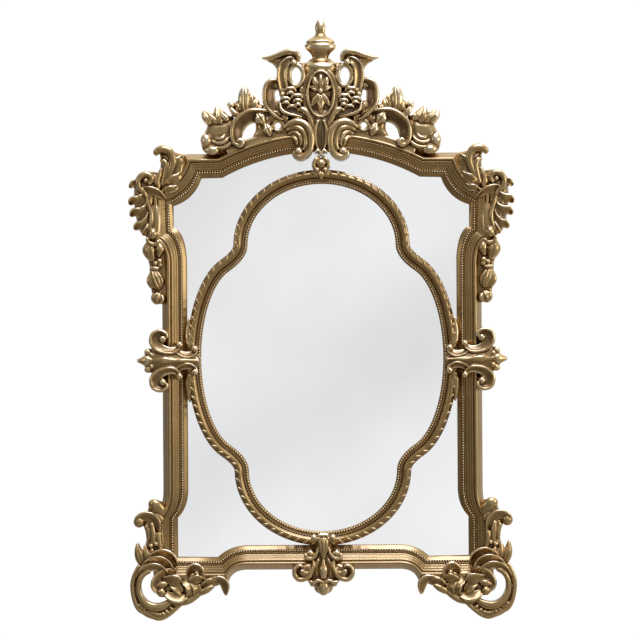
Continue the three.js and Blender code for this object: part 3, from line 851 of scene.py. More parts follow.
# Palmette sides, neck flare, leaf wing, upright scroll, ear and flowers.
def crestMiddle():
    return [
        ribbon([(2, 267), (5.2, 273), (6.4, 279.6)], [4, 6, 4], [50, 53, 50], rounded(5), 30),
        leaflet([(1.5, 265.5), (6, 268), (11, 270)], [4, 7.5, 3], [51, 53, 49], 30, 2.4),
        leaflet([(1.5, 263), (5.4, 256.6), (8.8, 250)], [4, 7.5, 2.5], [51, 53, 49], 30, 2.4),
        # grounds: shelf beside the neck, behind the flowers, under the wing
        plate([(8, 297), (14, 294.6), (21, 294), (22, 290), (17, 286), (15, 272), (8, 270)], (13, 286), 34,
            22),
        plate([(12, 268), (20, 269.5), (30, 270.5), (39.6, 269), (40.4, 257), (44, 251), (50, 247),
            (45, 240.5), (34, 236), (22, 232), (9, 230), (8, 240), (12, 250)], (27, 253), 40),
        plate([(22, 299), (30, 303.5), (42, 300), (54, 298), (49, 294), (44.4, 289), (42.4, 282), (36, 286),
            (30, 292)], (37, 295), 42, 24),
        # wing: hollow leaf under a rolled lip
        ribbon([(23.4, 297), (29, 300.4), (37, 299.4), (45, 296.6), (53, 297)], [7, 10, 11, 8, 3],
            [46, 49, 48, 45, 41], cupped(9, 3)),
        ribbon([(21.4, 295), (22.6, 301.6), (27.4, 304.8), (35, 304), (44, 300.6), (52, 298.6),
            (58.4, 299.2)], [4, 5.6, 6.6, 6.6, 5.8, 4.4, 2], [44, 51, 54, 53, 50, 46, 41], rounded(7)),
        # upright scroll with its curl, and the ring round the piercing
        ribbon([(25.4, 296), (31, 296), (36.4, 291), (38.4, 282), (37.6, 272), (35.4, 262)],
            [5, 8, 10, 10.6, 10, 8], [49, 53, 53, 52, 50, 46], rimmed(4, 4, 0.7)),
        ring(24.2, 281, 6.9, 10.4, 4.4, 50, 10),
        ribbon([(31.4, 291), (31.8, 281), (31, 270)], [5, 5, 6], 44, rounded(3)),
        ball(26.8, 294, 3.6, 56),
        # ear scroll: a rim round a hollow that narrows to the piercing and runs out under the roses
        ribbon([(41, 272), (46.6, 271.6), (50.6, 267.4), (51.2, 260.5), (50.2, 253.4), (46.6, 247.4),
            (41, 242.6), (36, 240)], [11, 11.4, 11.6, 11.6, 12, 12, 9, 6], [42, 47, 49, 49, 49, 49, 48, 44],
            cupped(13, 4)),
        ribbon([(40.6, 276), (47, 276.8), (52.8, 274), (55.7, 266.8), (56.1, 258), (53.9, 250.4),
            (48.6, 243.8), (42, 239), (37, 237)], [3, 4.2, 4.6, 4.6, 4.6, 4.6, 4.4, 3.8, 2.4],
            [46, 51, 52, 52, 52, 52, 52, 50, 46], rounded(7)),
        plate([(37, 259), (41, 256.4), (45, 256.4), (49, 252), (46, 246), (40, 242), (34, 244), (34, 252)],
            (41, 250), 42),
        plate([(38, 274), (39, 267.4), (43, 266.8), (46.6, 267.4), (50, 270), (46, 274.6)], (43, 271), 42),
        ribbon([(40.8, 255), (39, 247.6), (34, 243.6), (26, 241.4), (18, 239.6)], [2.4, 3.8, 4, 3.6, 2],
            [48, 52, 53, 52, 48], rounded(7)),
        # smooth band from the roses down beside the volute
        ribbon([(24, 246.4), (18.6, 247.6), (13.4, 243.4), (9.6, 235), (6.8, 224)], [3, 6, 6.4, 5.4, 3],
            [46, 50, 51, 50, 48], rounded(8)),
        leaflet([(34, 263), (38, 266), (39.6, 271)], [6, 8, 2.5], [45, 48, 43]),
        leaflet([(21, 264), (18, 267.4), (17.4, 272)], [6, 8, 2.5], [45, 48, 43]),
    ] + crestPetals()


# Blown flowers: petals like scales, each an arch over the next.
def crestPetals():
    shapes = [ball(34, 254.6, 5.4, 47), ball(23.4, 256, 6.4, 48), ball(30.4, 264.6, 6, 46, high=4.6)]
    for across, up, wide, front in (
        (30.4, 268.4, 6.4, 51), (30, 264, 4.2, 51), (35.2, 258.6, 5, 53), (34.6, 254.4, 3.6, 53),
        (23.6, 261.4, 6.2, 54), (23, 256.6, 4.6, 55), (22.8, 252.4, 3, 54), (28.6, 250.8, 4.6, 51),
        (38.2, 262.6, 2.6, 48),
    ):
        spine = [(across + wide, up - wide * 0.62), (across + wide * 0.6, up - 0.4), (across, up),
                 (across - wide * 0.6, up - 0.4), (across - wide, up - wide * 0.62)]
        shapes.append(ribbon(spine, [2, 3.6, 4, 3.6, 2], [front - 4, front, front + 1, front, front - 4],
            rounded(6)))
    return shapes


# Volute that comes down over the rail as nested crescents, with the stem's rim and chevron.
def crestLower():
    return [
        plate([(36, 228), (26, 233), (15, 229), (10, 216), (13, 205), (20, 202), (25, 210), (31, 220)],
            (20, 219), 42, 30, claspBack),
        ribbon([(37.4, 228.6), (32, 232.6), (24.4, 235.2), (16.6, 232.8), (11.6, 226.6), (9.4, 217.6),
            (10.6, 208.4), (14.8, 202), (20.6, 199.6), (25.8, 202.4), (26, 206.8)],
            [3, 6, 7.6, 7.8, 7.6, 7.2, 7, 7, 7, 6, 4], [46, 52, 56, 57, 58, 58, 58, 58, 57, 56, 55],
            rounded(9), claspBack),
        ribbon([(35, 226), (29.6, 229), (23.6, 229.2), (18.4, 226), (15.6, 219.4), (15.4, 212),
            (17.6, 206)], [3, 5, 6, 6, 5.6, 5, 3], [44, 49, 53, 54, 54, 54, 51], rounded(8), claspBack),
        ribbon([(33, 222.6), (27.6, 224.6), (23, 222.8), (20.2, 217.4), (19.8, 211)],
            [2.8, 4.8, 5.2, 5, 2.6], [42, 46, 50, 51, 48], rounded(7), claspBack),
        ribbon([(30.6, 219.4), (27, 219.6), (24.4, 216.4), (23.6, 211.6)], [2.6, 4.2, 4.2, 2.6],
            [40, 44, 47, 45], rounded(6), claspBack),
        ball(22.4, 205.6, 4, 60, claspBack),
        ribbon([(2.6, 237), (5.6, 226), (4.8, 214), (1.6, 204.5)], [3.4, 3.2, 2.8, 2], 53, rounded(4),
            claspBack),
        ribbon([(6.2, 203.6), (3, 206.4), (-0.5, 202.4), (-3.6, 199.8)], [2.6, 2.8, 2.6, 1.8], 55,
            rounded(4), claspBack),
    ]


# Arched scroll, its leafy stem, the foot along the rail and the flame of leaves over it.
def crestSpray():
    return [
        ribbon([(40, 240.6), (50, 242.6), (58, 242.6), (66, 241.4), (72.6, 239.6), (78.6, 235.4),
            (82.6, 229), (83.6, 221), (82.4, 215.4), (79, 214.6)],
            [8, 10, 11, 14, 14.4, 14.4, 14, 12, 8, 6], [44, 47, 49, 50, 51, 51, 51, 51, 51, 50],
            cupped(15, 4)),
        ribbon([(48, 245.2), (58, 246.6), (66, 247), (73, 245.6), (80.4, 241.2), (86, 235), (88.5, 227.8),
            (88.5, 220), (86, 213.8), (81, 212.4)], [3, 4, 4.4, 4.6, 4.6, 4.6, 4.6, 4.6, 4.4, 3],
            [48, 52, 54, 54, 54, 54, 54, 54, 54, 52], rounded(7)),
        ribbon([(86, 213.4), (81, 211.6), (78, 214.4), (79.6, 218)], [4, 5, 5, 3], [53, 55, 56, 55],
            rounded(7)),
        ball(80.6, 216.6, 3, 55),
        ribbon([(22, 226), (44, 221.6), (62, 217), (78, 211.4), (94, 205)], [9, 9, 9.6, 10, 10], 37,
            rounded(3)),
        # ground of the stem, on both sides of the small piercing
        plate([(44, 243), (66, 244), (65.4, 236), (65, 228), (67, 218), (46, 220), (46.6, 228),
            (46.6, 235)], (56, 231), 40, 24),
        ribbon([(34, 238), (37, 231), (36, 224)], [8, 5.6, 8], 40, rounded(3)),
        ribbon([(32, 238.6), (42, 239), (52, 239.6)], [7, 7.6, 8], 42, rounded(4)),
        ring(42.7, 231.2, 4.6, 4.8, 3.4, 43, 18, rounded(4)),
        leaflet([(64, 244.6), (60.4, 238.8), (55.6, 231.6)], [5, 11.4, 3], [48, 53, 47], groove=3.4),
        leaflet([(55.6, 234), (52.8, 227.6), (50.4, 220.6)], [5, 10.4, 3], [48, 53, 47], groove=3.4),
        # flame
        plate([(60, 246), (63, 253), (68, 259), (75, 262), (81, 255), (87, 248), (84, 241), (72, 243)],
            (74, 250), 37),
        leaflet([(75, 244), (76, 253), (76, 262), (75.4, 270.4)], [8, 12, 11.6, 7], [46, 51, 51, 46],
            groove=3.2),
        leaflet([(71, 246), (69.6, 254), (68.4, 262.8)], [7, 9.6, 6], [44, 48, 44]),
        leaflet([(67.4, 246), (65.6, 252), (63.4, 258.2)], [7, 9.4, 5.6], [44, 48, 43]),
        leaflet([(64, 245.6), (61, 248.6), (58.6, 252.4)], [6, 7.6, 5], [44, 47, 43]),
        leaflet([(78.6, 245), (81, 250.6), (83.4, 256.6)], [7, 8, 2.4], [45, 49, 42]),
        ribbon([(80, 243), (85, 243.4), (88.6, 247.4), (89.3, 250)], [6, 6.6, 5.6, 4], [45, 49, 48, 46],
            rounded(8)),
        ball(89.3, 252, 4, 47),
    ]


# End of the spray: two leaves of two petals over a smooth calyx.
def crestEnd():
    shapes = [
        plate([(87, 240), (94, 241), (103, 240), (110, 238), (114.6, 228), (119.4, 217), (118, 208),
            (112, 203), (103, 202.6), (95, 205.4), (88.6, 212), (86, 224)], (103, 219), 46, 26),
        ball(114.2, 217, 5.8, 53, high=7.4),
        ball(108.4, 207.2, 7.4, 54, high=5),
    ]
    for spine, widths in (
        ([(117, 247), (115, 240.6), (109.4, 232.6)], [2.6, 7.6, 7]),
        ([(116, 246.4), (109.6, 240), (102.6, 233.6)], [3.4, 8.4, 7.4]),
        ([(103.8, 251), (102.8, 241.4), (98.6, 233)], [2.6, 8.4, 7.6]),
        ([(103, 249.6), (97.4, 241.2), (91.6, 236.4)], [3.4, 8.4, 7.4]),
    ):
        shapes.append(ribbon(spine, widths, [44, 52, 52], cleft(2, 9)))
    for reach, front in ((6, 50.5), (10.6, 51), (15.4, 50)):
        arc = [
            (101.6 + reach * math.cos(turn), 224.6 + reach * math.sin(turn))
            for turn in np.radians(np.linspace(190, 318, 7))
        ]
        shapes.append(ribbon(arc, [2, 3.6, 4, 3.6, 2], [front - 5, front, front, front - 5], rounded(5)))
    return shapes


ornament("piercedCrest", crestShapes(), crestLook["budget"], "crest")


shoulderLook = {"budget": 70000}


def shoulderShapes():
    return [
        # ground of the hanging leaf and of the leaf on the rail's corner
        plate([(164, 186), (175, 186), (182.6, 182), (186.4, 174), (187, 160), (186, 147), (184, 136),
            (180.6, 126), (174, 121), (165.6, 119), (164.6, 132), (166, 150), (164, 164), (158, 176)],
            (175, 156), 42, 18),
        plate([(149, 206), (157, 209.4), (160.6, 206), (160, 197), (160.6, 188), (163, 180), (160, 167),
            (152, 163), (144, 166), (138, 178), (134.4, 191), (135, 203)], (150, 186), 43, 26),
        # curl leaf: rolled rim that hooks over, a second fold in its hollow, veins down to the branch
        ribbon([(156, 174), (151, 185), (147.4, 196), (150.4, 206), (157.6, 208.6), (163.4, 206.2),
            (165, 202)], [5, 7, 8, 8, 8, 7, 4], [45, 50, 53, 55, 56, 54, 49], rounded(9)),
        ribbon([(158.6, 172), (155.4, 182), (153.8, 191), (156.6, 197), (160.6, 196.6)],
            [5, 6.6, 6.6, 5.6, 3.4], [45, 48, 50, 49, 45], rounded(8)),
        ribbon([(158.6, 190), (161, 183), (163, 176), (161, 169)], [3, 5, 5.6, 4], [43, 47, 48, 46],
            rounded(7)),
        ribbon([(166, 184), (165.4, 178), (163.4, 172)], [3, 4.4, 4], [43, 46, 46], rounded(6)),
        # fingers of the same leaf, up and across the rail
        ribbon([(150.6, 184), (145.6, 193), (140.6, 198), (137.6, 202)], [6, 9, 8, 3], [46, 51, 50, 44],
            cuppedRight(8, 3)),
        ribbon([(154.6, 172.6), (148.4, 177.6), (143, 180.6), (139.4, 184.6)], [6, 9, 7.6, 3],
            [46, 51, 49, 44], cuppedRight(8, 3)),
        ribbon([(157, 166.6), (151.6, 168.4), (146.6, 169.2), (142.4, 172)], [5, 7.6, 6.6, 3],
            [46, 50, 48, 44], cuppedRight(7, 3)),
        # volute that rises from the hanging leaf and curls in to its eye, and the leaf on to the rail
        ribbon([(173.4, 160), (176.6, 166), (181, 170), (182.2, 176.4), (179, 182.2), (173.6, 183.8),
            (169, 180.6), (169.4, 176), (172.8, 174.6)], [4, 5.6, 6, 6, 6.2, 6.2, 6, 5, 3.6],
            [46, 50, 52, 54, 55, 55, 54, 52, 50], rounded(8)),
        ball(174.6, 177.6, 2.6, 51),
        ribbon([(179, 169), (171, 168), (162, 164.4), (154.6, 158)], [5, 8.4, 8, 2], [48, 52, 50, 44],
            cuppedRight(10, 4)),
        ribbon([(165.2, 154), (164.6, 146), (164.6, 136), (165.6, 124), (166.2, 116)],
            [5, 7.4, 8.8, 9.4, 10], [37, 41, 44, 45, 40], rounded(6)),
        # inner edge and four hooked fingers, each lit along its upper side
        ribbon([(174.6, 163), (172, 153), (169.4, 144.6), (169.8, 135), (173, 125)], [3, 4.6, 5, 4.6, 3],
            [45, 47, 47.4, 47, 43], rounded(7)),
        ribbon([(182, 176.6), (187, 175), (191.2, 170)], [5, 6.6, 3.2], [43, 47, 42], cupped(7, 3)),
        ribbon([(174.2, 169), (176.4, 161.6), (182, 157.6), (188, 157.4), (191, 153)],
            [5, 9.4, 10.6, 8.6, 3.4], [44, 48, 50, 50, 43], cupped(11, 3)),
        ribbon([(172, 157), (174.2, 149.8), (180, 145.8), (186.6, 145.8), (190, 141.2)],
            [5, 9.4, 10.6, 8.6, 3.4], [44, 48, 50, 50, 43], cupped(11, 3)),
        ribbon([(170.6, 147), (172.6, 138.6), (177.6, 133), (183, 132.2), (186.2, 127.8)],
            [5, 9.4, 10.6, 8.6, 3.4], [44, 48, 50, 49, 43], cupped(11, 3)),
        ribbon([(171, 135), (173.2, 128.6), (178.4, 122.8)], [4, 7.4, 3.4], [44, 48, 43], cupped(8, 3)),
        ball(168, 124.4, 4.8, 53, high=6),
        ribbon([(174, 121), (171.6, 115.6), (166, 114), (161.8, 118)], [3.6, 4.6, 4.6, 3.4], 48,
            rounded(5)),
    ] + huskShapes()


# The drop: a bell of two lobes, berries, a ridged shell and a bud on one stem.
def huskShapes():
    return [
        ribbon([(166, 118), (165.6, 107), (164, 95), (163, 80), (162, 66), (161.6, 57)],
            [14, 20, 16, 17, 15, 10], 34, rounded(6)),
        ribbon([(168.6, 117.4), (171.4, 108), (167.6, 96.6)], [7, 14.4, 6], [42, 49, 43],
            reeded(2, 2.2, 10)),
        ribbon([(163.4, 116), (160.8, 109), (162.8, 101)], [5, 8, 4], [43, 48.4, 43], rounded(8)),
        ball(161.4, 97, 3.1, 47),
        ball(165.6, 94.8, 2.5, 45.6),
        ball(160.8, 93.2, 2.6, 46),
        ribbon([(171, 91.6), (166.6, 89.8), (161.6, 90)], [3, 4.2, 3], [42, 46, 44], rounded(4)),
        ribbon([(168.4, 89), (165, 78.6), (161, 69)], [8, 15.4, 10], [42, 48, 43], reeded(4, 3.4, 7)),
        ribbon([(170.6, 84), (171.6, 77), (168.4, 69.6)], [4, 6, 4], [41, 44, 41], rounded(6)),
        ribbon([(160.6, 66.4), (163.8, 60.4), (165.6, 53.8)], [7, 13.4, 7.4], [43, 48, 43],
            reeded(3, 2.8, 9)),
        ribbon([(159.6, 64), (158.8, 59), (161.4, 54.2)], [3, 4.4, 3], [42, 46, 43], rounded(5)),
    ]


leaf = ornament("shoulderLeafRight", shoulderShapes(), shoulderLook["budget"], "shoulder_leaf_right")
otherHand(leaf, "shoulderLeafLeft", "shoulder_leaf_left")


footLook = {
    "budget": 110000,
    "scallops": 12,
    "scallopWide": 4.4,
}


def footShapes():
    rim = [(183, -205), (187.6, -214), (190.2, -224), (189.6, -234), (187, -244), (183, -250.6),
           (176, -253.4), (170, -257), (164, -258.6), (157, -256.4), (149, -250.6), (141, -243.4)]
    shapes = [
        # ground of the stalk; knob leaf, hook leaf and the streaks that run down from it
        plate([(158, -146), (166, -142), (174, -148), (176, -160), (175, -172), (177, -182), (180, -200),
            (172, -210), (160, -208), (156, -192), (157, -168)], (167, -178), 39, 18),
        ribbon([(159, -156), (163.6, -150), (168.6, -145.8), (173.4, -148)], [9, 12.4, 12.4, 7.6],
            [45, 51, 53, 47], rounded(10)),
        ribbon([(160, -163), (164, -157.6), (168, -153.4)], [6, 7, 4], [46, 49, 46], rounded(6)),
        ribbon([(164.4, -174), (165.8, -164), (170.6, -158), (177, -156.6), (182.6, -159), (185.4, -163.4)],
            [5, 9, 10, 10, 9.6, 7.6], [46, 51, 53, 54, 52, 47], cupped(9, 4)),
        ball(183.4, -162.4, 5.6, 51, high=6),
        plate([(164, -160), (172, -158), (179, -161), (179.4, -167), (177, -172), (170, -174), (164, -170)],
            (171, -166), 43),
        ribbon([(177, -165), (174, -173), (174.4, -181)], [4, 6, 4], [43, 46, 45], rounded(7)),
        ribbon([(171, -163), (169.6, -174), (169, -186)], [5, 6.4, 5], [46, 49, 48], rounded(8)),
        ribbon([(163.6, -172), (164, -180), (162, -190)], [5, 6, 5], [46, 48, 47], rounded(7)),
        ball(171.6, -186.4, 2.4, 50),
        ball(166.6, -184.6, 2.2, 50),
        leaflet([(179.6, -205), (182.8, -197), (184.6, -190), (185.2, -183)], [9, 10, 7, 2],
            [44, 49, 47, 41]),
        ribbon([(173.6, -204), (176.2, -195), (177.4, -185)], [7, 8, 3], [46, 51, 46], rounded(8)),
        ribbon([(166, -203), (169, -195), (171.4, -188)], [7, 8, 3], [46, 50, 46], rounded(8)),
        # pierced scroll: broad band, smooth inner roll, rolled rim
        ribbon([(160, -202), (172, -204), (181, -210.6), (186.4, -219.4), (187.2, -229), (185, -239),
            (179.4, -247), (170, -252), (160.6, -251.4), (152, -246.6), (144, -239)],
            [10, 11, 10, 9.6, 9.6, 11, 13.6, 15, 15, 13, 9], 42, rounded(5)),
        ribbon([(172, -210.6), (180, -215.4), (184, -224.4), (183, -235), (177.4, -243.4), (168.6, -247.4),
            (159.6, -246), (151.6, -240.6)], [5, 5.4, 5.6, 6.4, 7.6, 8.4, 8, 5],
            [50, 52, 52, 52, 53, 53, 53, 50], rounded(6)),
        ribbon(rim, [4, 4.6, 4.8, 4.8, 4.8, 4.6, 4.4, 4.6, 5, 5, 4.6, 4], 47, rounded(5)),
        # three layers of leaf over its top
        ribbon([(176, -202.6), (169, -195.6), (159.6, -193.2), (151, -197), (146.4, -204)],
            [4, 7.6, 9, 8, 4], [47, 54, 57, 56, 50], cuppedRight(11, 4)),
        ribbon([(182, -210), (174.6, -202.8), (165, -200), (156, -203), (150.4, -210)], [4, 7.6, 9, 8, 4],
            [47, 55, 58, 57, 50], cuppedRight(11, 4)),
        ribbon([(186.4, -219.4), (180, -210.6), (170.6, -207), (161.6, -209), (155, -215)],
            [4, 7.6, 9, 8, 4], [47, 54, 56, 55, 50], cuppedRight(8, 4)),
        # leaf curl inside the ring, with its berry
        plate([(146, -208), (158, -210), (166, -215), (170, -224), (168.4, -233), (161, -238), (152, -236),
            (146, -226)], (157, -223), 43, 24),
        ribbon([(148, -213), (156.6, -213.8), (164.4, -218.4), (167.6, -226), (164.4, -233)],
            [9, 11, 10.4, 9.4, 6], [47, 51, 53, 54, 53], cupped(10, 4)),
        ball(161.4, -232.6, 4.8, 57),
    ]
    spots, out = follow(rim, np.linspace(0.4, 0.95, footLook["scallops"]))
    for (across, up), (leftX, leftZ) in zip(spots, out):
        wide = footLook["scallopWide"]
        reach = [(across - leftX * far, up - leftZ * far) for far in (6.4, 3, -1.4)]
        shapes.append(ribbon(reach, [wide * 0.6, wide, wide * 0.7], [45, 48, 44], rounded(5)))
    return shapes + garlandShapes()


# Broad leaves along the bottom rail, a curl up on to the rail, and the leaf that ends the garland.
def garlandShapes():
    return [
        plate([(160, -212), (148, -210.6), (134, -210), (120, -212), (108, -216), (101, -220), (104, -226),
            (112, -229.6), (124, -238), (134, -242.6), (146, -243), (156, -239), (161, -228)], (133, -226),
            40, 22),
        # leaves that fan towards the ring
        ribbon([(141, -222.6), (150, -220.2), (161, -218.4)], [9, 11.4, 3], [54, 57, 50], cupped(6, 3)),
        ribbon([(155, -224.6), (162, -225), (168, -227.4)], [6, 7, 3], [50, 53, 48], rounded(7)),
        ribbon([(153, -224.8), (146.4, -228), (141, -234.6)], [6, 10, 8], [51, 54, 52], cupped(6, 3)),
        ribbon([(158, -232.8), (151, -237.4), (142.6, -238.8), (135.6, -236)], [5, 10, 9.4, 5],
            [51, 57, 56, 51], cupped(7, 3)),
        # two folds of the swirl, the leaf over it and the hood of leaf up on the rail
        ribbon([(140.6, -221.6), (134, -226), (132.4, -233), (136.4, -238.4)], [6, 9.4, 9.4, 5],
            [52, 58, 57, 52], cupped(9, 3)),
        ribbon([(131, -222.6), (126.4, -229), (128, -237)], [6, 9, 5], [51, 55, 50], cupped(8, 3)),
        ribbon([(134.6, -222.6), (126, -219.4), (117.4, -221)], [6, 9.4, 3], [53, 57, 48],
            cuppedRight(7, 3)),
        ribbon([(134.6, -216), (133.6, -210), (128.4, -207.4), (123.4, -211), (120.2, -220)],
            [3, 6, 8, 9.6, 5], [48, 53, 57, 57, 50], cuppedRight(9, 3)),
        ribbon([(129, -212.4), (125.8, -214), (124, -220)], [2.4, 4, 3], [51, 55, 52], rounded(6)),
        ribbon([(133, -219), (130.4, -215.4), (128.4, -219)], [3, 4.4, 3], [48, 51, 49], rounded(6)),
        # rolled lower edge and the leaves that run out to the end
        ribbon([(157, -241), (147, -243.2), (136, -241.8), (127, -236.6), (118, -230)], [4, 6, 7, 6.4, 3],
            [46, 49, 50, 49, 45], rounded(8)),
        ribbon([(122, -227.6), (114, -223.6), (106, -221.6)], [6, 9.4, 5], [49, 53, 49],
            cuppedRight(10, 4)),
        ribbon([(124, -234.4), (116, -230), (109, -226)], [6, 7.4, 4], [47, 51, 47], rounded(8)),
        ribbon([(118, -221.6), (110.4, -220.6), (103.6, -220.4), (99, -223.6), (97.6, -229.4),
            (97.4, -236.6)], [5, 6.6, 8.6, 10, 8.4, 2.6], [48, 51, 53, 53, 51, 44], cuppedRight(11, 4)),
    ]


foot = ornament("footScrollRight", footShapes(), footLook["budget"], "foot_scroll_right")
otherHand(foot, "footScrollLeft", "foot_scroll_left")


claspLook = {
    "budget": 36000,
    "sideUp": -2,  # height of the side clasps' middle
}


def sideClaspShapes():
    up = claspLook["sideUp"]
    shapes = [
        # body like a roof; its ridge swells to a lens and an acorn
        ribbon([(122.6, up), (132, up), (142, up), (152, up), (162, up), (170, up), (177, up), (184, up)],
            [5, 11, 17, 20, 23, 20, 10, 2], [50, 53, 55, 56, 56, 54, 51, 44], roofed(7), claspBack),
        ribbon([(122.6, up), (131, up), (139, up), (146, up), (152, up + 0.3), (158, up + 0.6),
            (164, up + 0.2), (169, up), (175.6, up), (184, up)],
            [3.4, 4, 5.4, 4.6, 7, 8, 5.6, 6.4, 10.6, 2], [51, 54, 57, 57, 59, 60, 57, 55, 56, 45],
            rounded(8), claspBack),
    ]
    for way in (1, -1):
        def turn(*spots):
            return [(across, up + way * rise) for across, rise in spots]
        hollow = cupped(9, 4) if way > 0 else cuppedRight(9, 4)
        within = cuppedRight(6, 3) if way > 0 else cupped(6, 3)
        shapes += [
            plate(turn((123, 0), (126, 8), (134, 9), (144, 12), (156, 13.6), (166, 13), (174, 11), (178, 5),
                (184, 0), (154, -3)), (154, up + way * 3), 46, 28, claspBack),
            plate(turn((164, 10), (170, 17), (169, 24), (162, 28), (156, 26), (155, 20), (158, 13)),
                (162, up + way * 19), 49, 28, claspBack),
            ribbon(turn((141, 14.6), (147.6, 10.4), (155.6, 10.4), (162.4, 13.4), (167, 19), (166, 25),
                (161, 27.4), (156.4, 25.6)), [5, 6, 8, 9.6, 10, 9, 7, 4.4],
                [52, 55, 56, 57, 57, 57, 57, 56], within, claspBack),
            ribbon(turn((140.6, 13.6), (147.4, 8), (156, 7.6), (164.6, 10.6), (170.2, 17.6), (168.8, 26.4),
                (161.6, 29.8), (155, 26.6), (154.8, 22)), [3, 3.6, 3.8, 4, 4, 4, 4, 3.8, 3],
                [53, 57, 58, 58, 59, 59, 59, 59, 58], rounded(6), claspBack),
            ball(158.8, up + way * 21.6, 4, 60, claspBack),
            ball(142, up + way * 15.6, 3.4, 58, claspBack),
            ribbon(turn((146.6, 11.4), (140.4, 6.8), (133, 5.4), (127.4, 8), (126.4, 11.6)),
                [5, 6, 6.6, 6, 5], [52, 55, 55, 54, 53], hollow, claspBack),
            ball(127, up + way * 11.4, 3.4, 57, claspBack),
            ball(173.4, up + way * 8.6, 3.8, 54, claspBack),
            ball(170, up + way * 5.8, 3, 55, claspBack),
            # leaf that fills the corner between stile and oval
            ribbon(turn((130, 12), (132.6, 22), (133.2, 32), (132.2, 42)), [7, 7, 5, 2], [34, 31, 28, 24],
                rounded(4), claspBack),
        ]
    return shapes


clasp = ornament("sideClaspRight", sideClaspShapes(), claspLook["budget"], "side_clasp_right")
otherHand(clasp, "sideClaspLeft", "side_clasp_left")


def bottomClaspShapes():
    middle = [
        plate([(-6, -176), (6, -176), (9, -190), (15, -198), (17, -208), (26, -212), (24, -221), (12, -224),
            (8, -233), (0, -236.6), (-8, -233), (-12, -224), (-24, -221), (-26, -212), (-17, -208),
            (-15, -198), (-9, -190)], (0, -210), 47, 28, claspBack),
        ribbon([(-5.4, -176.6), (0, -177), (5.4, -176.6)], [4, 4.4, 4], 53, rounded(4), claspBack),
        ribbon([(0, -178.6), (0, -189), (0, -200)], [11, 9.6, 4], [56, 58, 55], reeded(3, 2, 3), claspBack),
        ribbon([(0, -199), (0, -204), (0, -209)], [2.4, 4, 6.4], [53, 56, 58], rounded(6), claspBack),
        ball(0, -212.4, 5, 60, claspBack, high=8.2),
        ball(0, -228.6, 6.2, 58, claspBack, high=8.4),
        plate([(-14, -219), (14, -219), (13, -226), (8, -229), (0, -233), (-8, -229), (-13, -226)],
            (0, -223), 51, 34, claspBack),
    ]
    side = [
        ball(9.4, -179, 3.2, 56, claspBack),
        ribbon([(3, -179), (6.4, -180.8), (9.8, -179.6)], [3.6, 4.2, 3.4], 53, rounded(4), claspBack),
        # upper curl
        ribbon([(4.6, -187), (6.8, -195), (11.6, -199.6), (16.6, -198.4), (17.8, -194)],
            [3, 4, 4.4, 4.2, 3.4], [53, 55, 57, 57, 56], rounded(7), claspBack),
        ball(13, -194.6, 3.8, 58, claspBack),
        # lower volute: rim, pad in its hollow and eye
        ribbon([(11, -199.6), (9.8, -207), (12.8, -215), (18.4, -219.8), (24.6, -220.2), (28.6, -215.6),
            (28, -209.4), (23.6, -206.6), (19.6, -208)], [3, 4.4, 5, 5.4, 5.6, 5.4, 4.8, 4.4, 3],
            [52, 56, 58, 58, 58, 58, 58, 58, 57], rounded(8), claspBack),
        plate([(11, -203), (20, -204.6), (28.6, -209), (28.4, -216), (23, -220.6), (16, -219.6),
            (10.4, -212)], (19, -212.4), 51, 34, claspBack),
        ribbon([(22.8, -210.4), (19, -214.8), (14.6, -213.4), (12.6, -208)], [6.4, 7, 5.4, 3],
            [59, 58, 56, 53], rounded(8), claspBack),
        # leaf beside the drop, lip under the body, side lobe of the trefoil
        ribbon([(4.6, -200), (7.4, -208), (6.4, -217)], [4, 5, 3], [49, 51, 49], rounded(6), claspBack),
        ribbon([(15, -221.6), (10.6, -223.8), (5.4, -221.8), (0, -224)], [3.6, 4.4, 4, 3.6],
            [53, 56, 56, 56], rounded(4), claspBack),
        ball(10.8, -224.8, 3.2, 54, claspBack),
    ]
    return middle + both(side)


ornament("bottomClasp", bottomClaspShapes(), claspLook["budget"], "bottom_clasp")


def topClaspShapes():
    middle = [
        ribbon([(0, 199), (0, 194), (0, 188), (0, 183.6)], [7, 14, 15, 8], [44, 47, 47, 44], rounded(5),
            claspBack),
        ribbon([(0, 198.6), (0, 193.6), (0, 188.6)], [6, 9.4, 5], [50, 55, 52], rounded(7), claspBack),
        ribbon([(0, 186), (0, 181.6), (0, 178.6)], [6, 7, 3], [48, 50, 44], reeded(2, 2.2, 4), claspBack),
        ball(0, 180.4, 2.4, 48, claspBack),
    ]
    side = [
        ribbon([(1.4, 199.4), (5.4, 197), (7.4, 191.6), (5.6, 187.4)], [3, 3.6, 3.8, 3], [49, 52, 52, 51],
            rounded(4), claspBack),
        ball(4, 187, 2.6, 53, claspBack),
        ribbon([(2, 186), (5.6, 183), (7.4, 179.8)], [4, 5.4, 2], [47, 49, 43], reeded(2, 2.2, 4),
            claspBack),
    ]
    return middle + both(side)


ornament("topClasp", topClaspShapes(), claspLook["budget"], "top_clasp")


# Silvered sheet and the board behind it keep their solids.
glassLook = {
    "foxed": (0.35, (0.86, 0.86, 0.85, 1)),
    "silver": (0.6, (0.93, 0.935, 0.94, 1)),
    "haze": {"Scale": 2.2, "Detail": 5},
    "gloss": {"To Min": 0.015, "To Max": 0.05},
}


